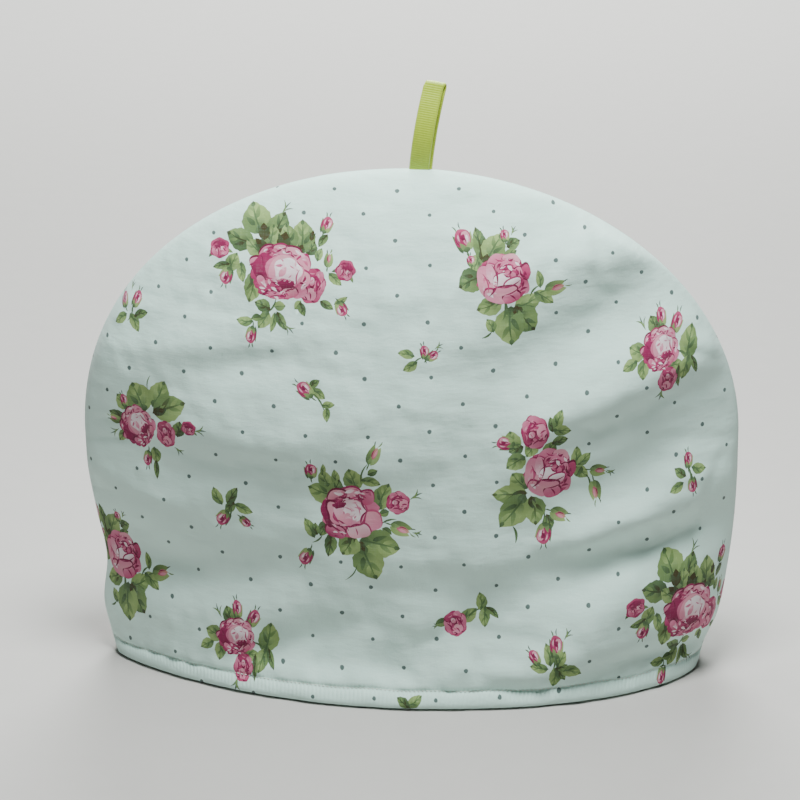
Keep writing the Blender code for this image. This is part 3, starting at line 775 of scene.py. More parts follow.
def stem(shapes, x, y, length, width, angle):
    """A thin stem about its middle."""
    draw = Sketch(shapes, x, y, 1.0, 1.0, angle)
    draw.line(-length / 2, 0.0, length / 2, 0.0, 0.12, width, "moss", "fern")


def wisp(shapes, x, y, length, width, angle):
    """Three fine curled leaflets that spread from one point."""
    draw = Sketch(shapes, x, y, 1.0, 1.0, angle)
    draw.line(-length / 2, 0.0, length / 2, 0.0, 0.06, width, "fern", "dot")
    draw.line(-length / 3, 0.0, length / 3, 0.42 * length, -0.14, 0.9 * width, "leaf", "fern")
    draw.line(-length / 3, 0.0, length / 4, -0.38 * length, 0.14, 0.8 * width, "leaf", "dot")


BOUQUETS = {
    # motif, across from the bouquet's middle, up from it, length, width, angle
    "crowned": (
        (deep_leaf, -21.5, 16.0, 14.0, 9.0, 166), (leaf, -13.5, 12.0, 10.0, 6.5, 140),
        (deep_leaf, -8.0, 13.0, 10.0, 5.5, 60), (leaf, -13.5, 26.5, 15.0, 12.5, 114),
        (deep_leaf, -2.0, 23.5, 15.0, 9.0, 64), (leaf, -5.0, 18.0, 11.0, 7.0, 80),
        (leaf, 10.5, 19.0, 16.0, 10.0, 88), (deep_leaf, 15.5, 13.5, 7.0, 5.0, 60),
        (wisp, 2.0, 33.0, 8.0, 0.9, 58), (leaf, 4.0, 18.5, 12.0, 7.5, 104),
        (shadow, -9.0, 20.0, 9.0, 6.0, 96), (shadow, 1.5, 16.0, 10.0, 7.0, 78),
        (shadow, -10.0, 13.5, 9.0, 4.6, 140), (shadow, 10.0, 12.5, 6.0, 4.0, 60),
        (shadow, 16.0, 20.0, 6.0, 2.6, 80), (leaf, -24.5, 3.5, 9.0, 6.0, 68),
        (deep_leaf, -31.0, 1.0, 8.5, 3.2, 196), (leaf, -19.5, -1.0, 9.0, 4.0, 278),
        (bark_leaf, -14.5, -8.0, 14.0, 7.5, 262), (stem, -4.0, -16.5, 9.0, 1.0, 238),
        (deep_leaf, -8.5, -17.0, 8.0, 5.0, 156), (leaf, 0.5, -16.5, 5.2, 4.0, 10),
        (leaf, 9.5, -15.0, 5.0, 3.2, 236), (deep_leaf, 12.0, -17.0, 6.5, 3.2, 288),
        (leaf, -8.0, -23.5, 9.0, 5.0, 240), (leaf, -3.0, -24.5, 9.0, 2.6, 258),
        (deep_leaf, 1.5, -23.5, 9.0, 3.6, 300), (leaf, -17.5, -24.5, 8.0, 3.6, 178),
        (deep_leaf, -11.5, -23.0, 5.0, 3.0, 190), (wisp, 5.0, -27.0, 7.0, 0.8, 320),
        (deep_leaf, 24.0, -14.5, 7.0, 3.2, 330), (leaf, 31.0, -12.0, 7.0, 2.6, 32),
        (leaf, 28.0, -1.5, 8.0, 3.6, 316), (leaf, 20.0, 10.5, 6.0, 3.2, 72),
        (deep_leaf, 21.5, 17.5, 7.0, 3.2, 236), (small_rose, -32.5, 9.5, 12.0, 11.0, 20),
        (bud, -28.0, -4.0, 8.0, 7.5, 250), (bud, 23.0, 26.0, 8.5, 6.5, 74),
        (green_bud, 24.5, 8.0, 7.5, 5.0, 84), (small_rose, 33.0, 3.0, 10.5, 12.0, -20),
        (bud, 31.5, -16.0, 7.0, 6.5, 300), (bud, -14.0, -31.5, 8.0, 6.0, 262),
        (side_rose, 16.5, -5.0, 14.5, 19.5, -12), (cup_rose, 0.0, 0.0, 31.0, 28.0, 0),
    ),
    "trailing": (
        (leaf, -14.0, 7.5, 9.0, 6.0, 250), (deep_leaf, -13.0, 17.5, 15.0, 5.5, 102),
        (leaf, -5.0, 15.5, 13.5, 9.5, 62), (deep_leaf, 4.5, 17.0, 6.5, 5.0, 26),
        (deep_leaf, 3.0, 12.0, 6.5, 4.0, 28), (deep_leaf, -16.5, -1.5, 11.0, 9.5, 204),
        (bark_leaf, -7.0, -13.0, 12.0, 8.0, 202), (leaf, 12.0, -12.5, 13.0, 7.5, 24),
        (leaf, 20.0, -11.0, 10.5, 5.0, 328), (leaf, 17.5, -1.0, 8.5, 3.2, 98),
        (stem, 15.5, -7.0, 7.0, 1.1, 48), (deep_leaf, 11.0, -21.5, 14.0, 11.0, 306),
        (leaf, 4.0, -24.5, 18.0, 12.0, 271), (leaf, -6.5, -23.5, 7.0, 4.0, 116),
        (stem, -8.0, -28.0, 6.0, 1.1, 214), (stem, 0.0, -15.5, 11.0, 1.8, 268),
        (shadow, 6.0, -16.5, 5.0, 3.0, 250), (shadow, -9.0, 9.5, 6.0, 3.4, 260),
        (bud, -20.5, 19.5, 11.5, 9.5, 112), (bud, -16.5, 9.0, 5.0, 4.6, 100),
        (bud, 0.0, 21.5, 6.0, 5.0, 104), (green_bud, 26.0, -6.0, 11.0, 8.5, 16),
        (wisp, 4.5, 23.5, 5.0, 0.8, 64), (round_rose, 0.0, 0.0, 27.0, 26.0, 0),
    ),
    "leaning": (
        (deep_leaf, -3.5, 11.5, 8.0, 6.0, 112), (wisp, -9.5, 12.5, 7.0, 0.9, 118),
        (leaf, -12.5, 0.5, 8.5, 7.0, 160), (leaf, -16.5, -6.0, 8.0, 4.2, 208),
        (leaf, -9.0, -8.0, 9.0, 5.0, 262), (leaf, 17.5, 1.5, 15.5, 8.5, 76),
        (leaf, 8.5, -8.0, 8.0, 4.6, 4), (leaf, 14.5, -10.5, 11.0, 5.4, 248),
        (deep_leaf, 19.5, -9.5, 8.5, 2.8, 288), (stem, 12.5, -3.5, 7.0, 1.2, 330),
        (deep_leaf, 10.5, -14.0, 11.0, 2.4, 268), (wisp, 0.0, -22.5, 7.0, 1.2, 258),
        (bud, 1.0, 15.0, 8.5, 6.0, 98), (bud, 10.0, 11.5, 9.5, 7.0, 64),
        (side_rose, 4.0, -14.5, 11.5, 14.0, -14), (cup_rose, 0.0, 0.0, 20.5, 19.5, 18),
    ),
    "twin": (
        (leaf, 1.0, 16.5, 14.5, 13.0, 118), (leaf, 13.0, 20.0, 14.0, 9.5, 62),
        (bark_leaf, 19.0, 13.5, 18.0, 10.5, 24), (stem, 7.5, 25.0, 8.0, 0.7, 78),
        (leaf, -9.5, 12.5, 8.5, 6.5, 130), (deep_leaf, -12.5, 5.0, 10.0, 5.0, 168),
        (leaf, -9.5, -6.5, 8.0, 4.2, 232), (leaf, 10.0, -13.5, 8.0, 4.8, 278),
        (deep_leaf, 10.5, -21.0, 9.0, 2.6, 272), (deep_leaf, 24.5, 3.5, 8.0, 5.5, 80),
        (wisp, 36.5, 4.5, 7.0, 0.9, 10), (wisp, 24.0, -9.0, 6.0, 0.9, 322),
        (wisp, -15.0, -5.0, 7.0, 0.8, 214), (shadow, 13.0, 11.0, 8.0, 4.0, 24),
        (bud, -8.0, 13.5, 6.5, 5.0, 110), (green_bud, -14.5, 2.0, 7.5, 5.5, 172),
        (small_rose, 30.0, 5.0, 9.0, 8.5, 0), (bud, 5.5, -16.0, 8.0, 5.5, 262),
        (side_rose, 17.0, -0.5, 12.0, 15.5, 8), (cup_rose, 0.0, 0.0, 21.5, 21.0, 60),
    ),
    "open": (
        (leaf, -14.5, 11.0, 13.0, 9.0, 164), (leaf, -12.5, 18.0, 9.0, 5.5, 112),
        (leaf, -8.0, 19.0, 8.0, 3.4, 92), (leaf, -14.0, 23.0, 6.0, 2.2, 84),
        (deep_leaf, -7.0, 12.5, 10.0, 6.0, 76), (shadow, -3.5, 12.0, 5.0, 4.0, 200),
        (leaf, 1.0, 18.5, 11.0, 8.0, 108), (leaf, 10.0, 17.5, 9.0, 4.2, 346),
        (deep_leaf, 11.0, 23.0, 5.0, 3.2, 26), (stem, 7.0, 22.0, 12.0, 0.9, 74),
        (leaf, 16.5, 10.0, 13.5, 7.5, 70), (deep_leaf, 16.5, 1.5, 5.0, 3.2, 200),
        (deep_leaf, 18.0, -8.0, 5.0, 3.0, 330), (stem, 19.0, -3.0, 8.0, 1.0, 20),
        (leaf, 14.5, -15.5, 18.0, 11.5, 352), (leaf, 9.0, -25.5, 17.0, 12.5, 294),
        (shadow, 5.5, -17.0, 6.0, 3.4, 300), (bark_leaf, -1.5, -17.0, 11.0, 9.0, 242),
        (deep_leaf, -11.0, -17.5, 11.5, 5.0, 264), (deep_leaf, -14.0, -8.5, 8.0, 5.0, 250),
        (leaf, -21.0, -9.0, 10.0, 4.6, 116), (deep_leaf, -17.5, -9.0, 6.0, 3.0, 98),
        (stem, -17.0, -14.5, 7.0, 1.0, 222), (stem, 0.0, -31.5, 11.0, 0.7, 236),
        (wisp, 32.5, 10.5, 7.0, 1.0, 30), (wisp, 33.0, -9.0, 5.0, 0.9, 346),
        (bud, -20.0, 22.0, 8.0, 7.0, 94), (green_bud, 11.5, 32.0, 10.5, 7.0, 66),
        (green_bud, 25.0, -6.5, 11.0, 8.0, 340), (bud, -23.0, -25.5, 9.5, 7.5, 246),
        (side_rose, 23.5, 7.0, 13.0, 12.5, 70), (open_rose, 0.0, 0.0, 30.0, 28.0, 6),
    ),
    "stacked": (
        (leaf, -18.5, 18.0, 9.0, 7.0, 110), (deep_leaf, -17.0, 13.5, 7.0, 5.0, 200),
        (leaf, -9.5, 13.5, 8.0, 5.5, 240), (deep_leaf, 0.0, 13.0, 8.0, 5.5, 60),
        (deep_leaf, 0.5, 26.0, 7.0, 3.4, 100), (leaf, 4.5, 28.0, 9.5, 4.4, 74),
        (leaf, 6.0, 22.5, 8.5, 4.8, 350), (deep_leaf, 5.0, 16.5, 7.5, 4.4, 12),
        (leaf, -17.0, 7.0, 10.0, 7.0, 212), (leaf, -15.0, -3.0, 10.5, 8.0, 132),
        (bark_leaf, -20.0, -9.5, 15.5, 8.0, 178), (leaf, -18.5, -18.5, 18.0, 11.5, 232),
        (bark_leaf, -8.0, -19.5, 14.0, 8.5, 280), (leaf, 13.0, 7.0, 9.5, 4.4, 82),
        (leaf, 17.5, 5.0, 8.5, 4.0, 44), (leaf, 16.0, -1.5, 9.0, 5.0, 318),
        (deep_leaf, 15.0, -1.0, 5.0, 3.4, 240), (stem, 19.5, -8.0, 10.0, 1.0, 282),
        (stem, -3.5, -25.0, 8.0, 1.2, 254), (deep_leaf, 0.0, -26.0, 7.0, 4.0, 290),
        (stem, -17.5, -31.0, 9.0, 1.4, 280), (wisp, 31.5, -4.0, 5.0, 1.0, 330),
        (bud, -22.5, 16.5, 8.5, 7.5, 176), (green_bud, 25.0, -2.0, 9.0, 7.5, 350),
        (green_bud, 23.5, -12.5, 10.5, 7.0, 282), (green_bud, 5.0, -22.5, 9.5, 7.5, 338),
        (bud, -2.5, -32.0, 10.0, 8.5, 262), (side_rose, -7.5, 22.0, 18.5, 15.0, 96),
        (round_rose, 0.0, 0.0, 26.0, 27.0, -14),
    ),
    "pair": (
        (leaf, -5.5, -5.0, 8.0, 4.0, 214), (leaf, 3.5, -6.0, 9.0, 4.6, 310),
        (deep_leaf, 7.5, -1.5, 8.0, 3.6, 22), (stem, 0.5, -2.0, 8.0, 0.9, 250),
        (wisp, -1.0, 10.5, 5.0, 0.8, 96), (bud, -5.0, 3.5, 7.0, 5.5, 124), (bud, 4.0, 5.5, 8.0, 6.0, 66),
    ),
    "single": (
        (leaf, -7.5, 1.5, 7.5, 3.6, 170), (leaf, -5.5, -4.0, 7.5, 3.8, 214),
        (stem, -1.5, -1.5, 7.0, 0.8, 36), (wisp, 8.5, 5.5, 5.0, 0.8, 34), (bud, 1.5, 3.0, 6.5, 5.0, 100),
        (bud, 5.5, 1.0, 6.0, 5.0, 36),
    ),
    "falling": (
        (leaf, 4.0, 1.5, 7.0, 3.8, 330), (stem, 3.5, -2.5, 12.0, 0.9, 308),
        (leaf, 8.5, -8.0, 6.5, 3.0, 268), (leaf, 9.0, -3.5, 6.0, 2.8, 10),
        (deep_leaf, 2.0, 6.0, 6.0, 3.0, 40), (bud, -3.0, 3.0, 9.0, 7.5, 140),
    ),
    "crossed": (
        (leaf, -7.5, 6.0, 9.0, 4.4, 118), (deep_leaf, 0.5, 6.5, 10.0, 4.4, 62),
        (leaf, 6.5, 1.0, 9.0, 4.0, 338), (deep_leaf, -1.0, 0.5, 7.0, 4.0, 230),
        (stem, -1.5, -2.0, 8.0, 0.9, 256), (bud, -5.0, -6.0, 9.0, 7.5, 236),
        (bud, 7.0, -6.5, 6.5, 5.5, 320),
    ),
    "upright": (
        (stem, 1.0, -1.0, 9.0, 1.0, 268), (leaf, 2.0, -9.0, 10.0, 5.0, 262),
        (deep_leaf, 5.5, -7.5, 7.0, 3.6, 300), (leaf, 10.5, -6.5, 10.5, 5.4, 338),
        (deep_leaf, 5.5, -3.0, 6.0, 3.2, 24), (leaf, -6.0, -3.5, 8.5, 3.8, 172),
        (leaf, -1.5, 2.5, 10.0, 4.4, 104), (leaf, 5.0, 1.0, 8.0, 4.0, 60),
        (wisp, 8.5, 12.5, 6.0, 0.9, 54), (bud, -8.5, 1.5, 7.5, 5.5, 128), (bud, 2.5, 7.0, 10.0, 7.5, 94),
    ),
    "rosette": (
        (leaf, 6.5, 4.0, 9.5, 5.4, 40), (stem, 10.0, 5.0, 9.0, 1.0, 36), (leaf, 12.5, 11.0, 9.0, 4.4, 96),
        (leaf, 15.0, 3.0, 9.5, 4.4, 268), (deep_leaf, 18.5, 5.0, 7.5, 2.6, 318),
        (deep_leaf, -7.0, 1.0, 5.5, 4.0, 196), (wisp, -9.5, -0.5, 4.0, 0.8, 190),
        (side_rose, 0.0, 0.0, 12.5, 14.5, 20),
    ),
    "falling pair": (
        (leaf, -6.5, -6.5, 8.0, 4.0, 210), (leaf, 6.5, 1.5, 8.0, 4.0, 350),
        (deep_leaf, -4.5, 0.5, 7.0, 3.6, 150), (stem, 0.5, -1.0, 9.0, 0.9, 280),
        (bud, 0.0, 6.0, 7.5, 5.5, 96), (bud, 3.0, -6.5, 7.5, 6.0, 280),
    ),
    "leaflets": (
        (leaf, 2.5, 5.0, 8.0, 4.0, 30), (deep_leaf, -3.0, 4.0, 7.0, 3.6, 140),
        (stem, 0.0, 0.0, 6.0, 0.9, 268),
    ),
}
FRONT_BOUQUETS = (
    # bouquet, across, up
    ("crowned", -63.5, 217.6), ("trailing", 47.5, 217.6), ("leaning", 129.0, 176.3), ("twin", -141.0, 131.5),
    ("open", -27.0, 99.0), ("stacked", 71.5, 119.0), ("crowned", 150.5, 37.4), ("trailing", -160.0, 56.3),
    ("leaning", -88.5, 26.9), ("pair", -147.0, 190.7), ("single", 7.5, 178.8), ("falling", -47.0, 158.4),
    ("crossed", -88.5, 96.0), ("falling pair", 146.0, 111.6), ("rosette", 25.0, 41.8), ("upright", 73.5, 24.4),
    ("leaflets", 2.5, 0.0),
)
BACK_BOUQUETS = (
    # bouquet, across, up
    ("open", 30.0, 216.0), ("crowned", -78.0, 168.0), ("twin", 118.0, 166.0), ("stacked", 12.0, 128.0),
    ("trailing", 92.0, 66.0), ("leaning", -136.0, 104.0), ("open", -66.0, 58.0), ("crowned", -158.0, 26.0),
    ("leaning", 18.0, 34.0), ("twin", 160.0, 92.0), ("pair", -30.0, 232.0), ("falling", -22.0, 176.0),
    ("single", 60.0, 172.0), ("upright", -8.0, 84.0), ("crossed", 58.0, 24.0), ("rosette", -110.0, 76.0),
    ("falling pair", 88.0, 118.0), ("single", -118.0, 150.0), ("upright", 146.0, 30.0), ("pair", -40.0, 14.0),
)
DOT_START = (-5.5, 236.6)
DOT_STEPS = ((15.3, 14.2), (16.0, -13.0))
DOT_ACROSS = 2.2
DOT_CLEARANCE = 3.0


def print_shapes(bouquets, seed):
    """Every inked shape of one wall: its bouquets, then the dots where the cloth is bare."""
    shapes = []
    for bouquet, across, up in bouquets:
        for motif, x, y, length, width, angle in BOUQUETS[bouquet]:
            motif(shapes, across + x, up + y, length, width, angle)
    places = np.concatenate([outline for outline, *_ in shapes])
    taken = KDTree(len(places))
    for number, (x, y) in enumerate(places):
        taken.insert((x, y, 0.0), number)
    taken.balance()
    random = np.random.default_rng(seed)
    first, second = np.array(DOT_STEPS)
    for row in range(-26, 27):
        for column in range(-26, 27):
            x, y = DOT_START + row * first + column * second + random.uniform(-0.9, 0.9, 2)
            if abs(x) < 195 and -5 < y < 290 and taken.find((x, y, 0.0))[2] > DOT_CLEARANCE:
                size = DOT_ACROSS / 2 * random.uniform(0.88, 1.1)
                Sketch(shapes, x, y).blob(0.0, 0.0, size, size, 0, "dot", "dot", 0.05, 3, x)
    return shapes


# The cloth's mesh

def seam_points(wall):
    """Evenly spaced flat places up the left side of the arch, over its top and down the right."""
    left = np.stack([wall.flat_left, wall.flat_heights], axis=1)
    right = np.stack([wall.flat_right, wall.flat_heights], axis=1)
    line = np.concatenate([left, right[::-1]])
    runs = np.concatenate([[0.0], np.cumsum(np.hypot(*np.diff(line, axis=0).T))])
    places = np.linspace(0.0, runs[-1], int(runs[-1] / SEAM_POINT_STEP))
    return np.stack([np.interp(places, runs, line[:, 0]), np.interp(places, runs, line[:, 1])], axis=1)


def cloth_points(wall, seam):
    """Flat places inside the panel: rows along the hem, rows along the seam, and a fine field."""
    after, before = np.roll(seam, -1, axis=0), np.roll(seam, 1, axis=0)
    ahead = (after - before)[1:-1]
    ahead = ahead / np.maximum(np.hypot(*ahead.T), 1e-9)[:, None]
    inward = np.stack([ahead[:, 1], -ahead[:, 0]], axis=1)
    rows = [seam[1:-1] + inward * inset for inset in SEAM_ROWS]
    for height in HEM_ROWS:
        left, right = wall.flat_reach(height)
        along = np.arange(left + 0.4, right - 0.4, HEM_POINT_STEP)
        rows.append(np.stack([along, np.full(len(along), height)], axis=1))
    top = wall.flat_heights[-1]
    across = np.arange(-190.0, 190.0, POINT_STEP)
    ups = np.arange(HEM_ROWS[-1] + POINT_STEP, top, POINT_STEP * 0.866)
    field = np.stack(np.meshgrid(across, ups), axis=-1)
    field[1::2, :, 0] += POINT_STEP / 2
    rows.append(field.reshape(-1, 2))
    points = np.concatenate(rows)
    left, right = wall.flat_reach(points[:, 1])
    clear = np.full(len(points), True)
    clear[len(seam[1:-1]) * len(SEAM_ROWS):] = (
        (points[:, 0] > left + 0.3) & (points[:, 0] < right - 0.3) & (points[:, 1] < top - 0.3)
    )[len(seam[1:-1]) * len(SEAM_ROWS):]
    edge = KDTree(len(seam))
    for number, (x, y) in enumerate(seam):
        edge.insert((x, y, 0.0), number)
    edge.balance()
    first = len(seam[1:-1]) * len(SEAM_ROWS)
    for number in range(first + sum(len(row) for row in rows[len(SEAM_ROWS):-1]), len(points)):
        x, y = points[number]
        if clear[number] and y > 20 and (x < left[number] + 12 or x > right[number] - 12 or y > top - 30):
            clear[number] = edge.find((x, y, 0.0))[2] > SEAM_ROWS[-1] + 0.8
    inside = (points[:, 0] > left) & (points[:, 0] < right) & (points[:, 1] > 0.05)
    return points[clear & inside]


def boundary_loop(triangles):
    """The points along the single outside edge of a flat mesh, in order."""
    edges = np.concatenate([triangles[:, (0, 1)], triangles[:, (1, 2)], triangles[:, (2, 0)]])
    seen = {(int(a), int(b)) for a, b in edges}
    following = {a: b for a, b in seen if (b, a) not in seen}
    first = next(iter(following))
    loop = [first]
    while following[loop[-1]] != first:
        loop.append(following[loop[-1]])
    return np.array(loop)


def triangulate(outline, shapes, points):
    """Flat triangles inside the outline that follow every shape's edge, and the topmost shape of each."""
    flat = [Vector(place) for place in outline]
    faces = [list(range(len(outline)))]
    for shape in shapes:
        faces.append(list(range(len(flat), len(flat) + len(shape[0]))))
        flat.extend(Vector(place) for place in shape[0])
    flat.extend(Vector(place) for place in points)
    places, _, corners, _, _, covered = delaunay_2d_cdt(flat, [], faces, 1, 1e-3, True)
    kept = [number for number, over in enumerate(covered) if 0 in over]
    triangles = np.array([corners[number] for number in kept])
    top = np.array([max(covered[number]) for number in kept])
    used, packed = np.unique(triangles, return_inverse=True)
    places = np.array([tuple(places[number]) for number in used])
    return places, packed.reshape(-1, 3), top


def ink_colours(places, triangles, top, shapes):
    """The print's colour at each corner of each triangle."""
    count = len(shapes) + 1
    near, far = np.tile(INKS["cloth"], (count, 1)), np.tile(INKS["cloth"], (count, 1))
    start, run = np.zeros((count, 2)), np.ones((count, 2))
    for number, (_, near_ink, far_ink, first, last) in enumerate(shapes, 1):
        near[number], far[number], start[number], run[number] = near_ink, far_ink, first, last - first
    corner = places[triangles]
    along = np.sum((corner - start[top][:, None]) * run[top][:, None], axis=2)
    part = np.clip(along / np.sum(run[top] ** 2, axis=1)[:, None], 0.0, 1.0)[..., None]
    return near[top][:, None] * (1 - part) + far[top][:, None] * part


def wall_mesh(name, wall, shapes):
    """A closed two-layer panel: printed outside, plain inside, with a narrow rim between them."""
    seam = seam_points(wall)
    left, right = seam[0, 0], seam[-1, 0]
    hem = np.arange(left + HEM_POINT_STEP, right - HEM_POINT_STEP / 2, HEM_POINT_STEP)
    outline = np.concatenate([np.stack([hem, np.zeros(len(hem))], axis=1), seam[::-1]])
    places, triangles, top = triangulate(outline, shapes, cloth_points(wall, seam))
    loop = boundary_loop(triangles)
    edge = np.zeros(len(places), dtype=bool)
    edge[loop] = places[loop, 1] > 0.02
    corners = loop[(places[loop, 1] <= 0.02)]
    edge[corners[np.argmin(places[corners, 0])]] = edge[corners[np.argmax(places[corners, 0])]] = True
    outside = wall.outer(places[:, 0], places[:, 1], edge)
    outside[loop[places[loop, 1] <= 0.02], 2] = 0.0

    ups = np.arange(INNER_POINT_STEP, wall.flat_heights[-1] - 2.0, INNER_POINT_STEP)
    field = np.stack(np.meshgrid(np.arange(-186.0, 187.0, INNER_POINT_STEP), ups), axis=-1).reshape(-1, 2)
    low = np.stack(np.meshgrid(np.arange(-186.0, 187.0, 3.0), (0.5, 1.2, 2.2, 3.6)), axis=-1).reshape(-1, 2)
    field = np.concatenate([low, field])
    reach_left, reach_right = wall.flat_reach(field[:, 1])
    field = field[(field[:, 0] > reach_left + 2.0) & (field[:, 0] < reach_right - 2.0)]
    inner_places, inner_triangles, _ = triangulate(places[loop], (), field)
    inner_loop = boundary_loop(inner_triangles)
    turn = int(np.argmin(np.hypot(*(inner_places[inner_loop] - places[loop[0]]).T)))
    inner_loop = np.roll(inner_loop, -turn)
    inner_edge = np.zeros(len(inner_places), dtype=bool)
    inner_edge[inner_loop] = edge[loop]
    inside = wall.inner(inner_places[:, 0], inner_places[:, 1], inner_edge)
    inside[inner_loop[~edge[loop]], 2] = 0.0

    count = len(places)
    following = np.roll(loop, -1)
    inner_following = np.roll(inner_loop, -1)
    rim = np.stack([loop, inner_loop + count, inner_following + count, following], axis=1)
    back = inner_triangles[:, ::-1] + count
    front = triangles
    if wall.side > 0:
        front, back, rim = front[:, ::-1], back[:, ::-1], rim[:, ::-1]
    mesh = bpy.data.meshes.new(name)
    points = np.concatenate([outside, inside]) * MM
    mesh.from_pydata(points, [], [*front.tolist(), *back.tolist(), *rim.tolist()])
    mesh.polygons.foreach_set("material_index", [0] * len(front) + [1] * len(back) + [0] * len(rim))

    colours = ink_colours(places, front, top, shapes).reshape(-1, 3)
    plain = np.tile(INKS["cloth"], (3 * len(back) + 4 * len(rim), 1))
    layer = mesh.color_attributes.new("print_colour", "FLOAT_COLOR", "CORNER")
    paint = np.ones((len(colours) + len(plain), 4))
    paint[:, :3] = np.concatenate([colours, plain])
    layer.data.foreach_set("color", paint.ravel())

    width = right_of(places) - left_of(places)
    size = 0.99 / width
    shift = np.array((-left_of(places) * size + 0.005, 0.005))
    outer_map = places[front] * size + shift
    inner_map = inner_places[back - count] * size * 0.2 + np.array((0.12, 0.80))
    strip = np.linspace(0.28, 0.99, len(rim) + 1)
    rim_map = np.stack([np.stack([strip[:-1], np.full(len(rim), 0.84)], axis=1),
                        np.stack([strip[:-1], np.full(len(rim), 0.86)], axis=1),
                        np.stack([strip[1:], np.full(len(rim), 0.86)], axis=1),
                        np.stack([strip[1:], np.full(len(rim), 0.84)], axis=1)], axis=1)
    if wall.side > 0:
        rim_map = rim_map[:, ::-1]
    uv = mesh.uv_layers.new(name="OFBake")
    uv.data.foreach_set("uv", np.concatenate([outer_map.reshape(-1, 2), inner_map.reshape(-1, 2),
                                              rim_map.reshape(-1, 2)]).ravel())
    flat = mesh.uv_layers.new(name="cloth")
    flat.data.foreach_set("uv", np.concatenate([
        places[front].reshape(-1, 2), inner_places[back - count].reshape(-1, 2),
        np.stack([places[loop], places[loop] - (0, 3.0), places[following] - (0, 3.0), places[following]],
                 axis=1).reshape(-1, 2)]).ravel() * MM)
    mesh.validate()
    mesh.shade_smooth()
    on_seam = set(loop[edge[loop]].tolist()) | {int(n) + count for n in inner_loop[edge[loop]]}
    sharp = mesh.attributes.new("sharp_edge", "BOOLEAN", "EDGE")
    pairs = np.empty(2 * len(mesh.edges), dtype=int)
    mesh.edges.foreach_get("vertices", pairs)
    sharp.data.foreach_set("value", [a in on_seam and b in on_seam for a, b in pairs.reshape(-1, 2).tolist()])
    piece = bpy.data.objects.new(name, mesh)
    bpy.context.collection.objects.link(piece)
    flat_area = float(np.sum(triangle_areas(places, triangles))) * MM * MM
    return piece, flat_area


def left_of(places):
    return float(places[:, 0].min())


def right_of(places):
    return float(places[:, 0].max())


def triangle_areas(places, triangles):
    """Areas of flat triangles."""
    first, second, third = (places[triangles[:, corner]] for corner in range(3))
    one, other = second - first, third - first
    return 0.5 * np.abs(one[:, 0] * other[:, 1] - one[:, 1] * other[:, 0])


# The hem's stitches and the ribbon

def tube_mesh(name, paths, radius, sides=6):
    """Closed round threads along paths of points in millimetres, thin at both ends."""
    vertices, faces = [], []
    for path in paths:
        path = np.asarray(path)
        ahead = np.gradient(path, axis=0)
        ahead /= np.linalg.norm(ahead, axis=1)[:, None]
        aside = np.cross(ahead, (0.0, 0.0, 1.0))
        aside /= np.linalg.norm(aside, axis=1)[:, None]
        above = np.cross(aside, ahead)
        first, last = len(vertices), len(path) - 1
        for place, one, other, step in zip(path, aside, above, range(len(path))):
            thick = radius * (0.45 if step in (0, last) else 1.0)
            for side in range(sides):
                turn = 2 * math.pi * side / sides
                vertices.append(place + thick * (math.cos(turn) * one + math.sin(turn) * other))
        for step in range(last):
            for side in range(sides):
                low, near = first + step * sides, (side + 1) % sides
                faces.append((low + side, low + near, low + sides + near, low + sides + side))
        faces.append(tuple(first + side for side in reversed(range(sides))))
        faces.append(tuple(first + last * sides + side for side in range(sides)))
    mesh = bpy.data.meshes.new(name)
    mesh.from_pydata([tuple(place * MM) for place in vertices], [], faces)
    mesh.validate()
    mesh.shade_smooth()
    piece = bpy.data.objects.new(name, mesh)
    bpy.context.collection.objects.link(piece)
    return piece


def hem_stitches(name, wall):
    """The thread's short bights, pulled into the cloth at both ends."""
    left, right = wall.flat_reach(STITCH_HEIGHT)
    random = np.random.default_rng(wall.seed)
    paths = []
    part = np.linspace(0.0, 1.0, 5)
    for start in np.arange(left + 3.0, right - 4.5, STITCH_PITCH):
        along = start + 1.45 * part
        line = STITCH_HEIGHT + 0.35 * uneven(along, 0 * along, 18.0, 60.0, wall.seed + 10)
        height = line + random.uniform(-0.06, 0.06)
        face = wall.outer(along, height)
        lift = 0.42 * np.sin(math.pi * part) - 0.12
        paths.append(face + np.outer(lift, (0.0, wall.side, 0.0)))
    return tube_mesh(name, paths, 0.27)


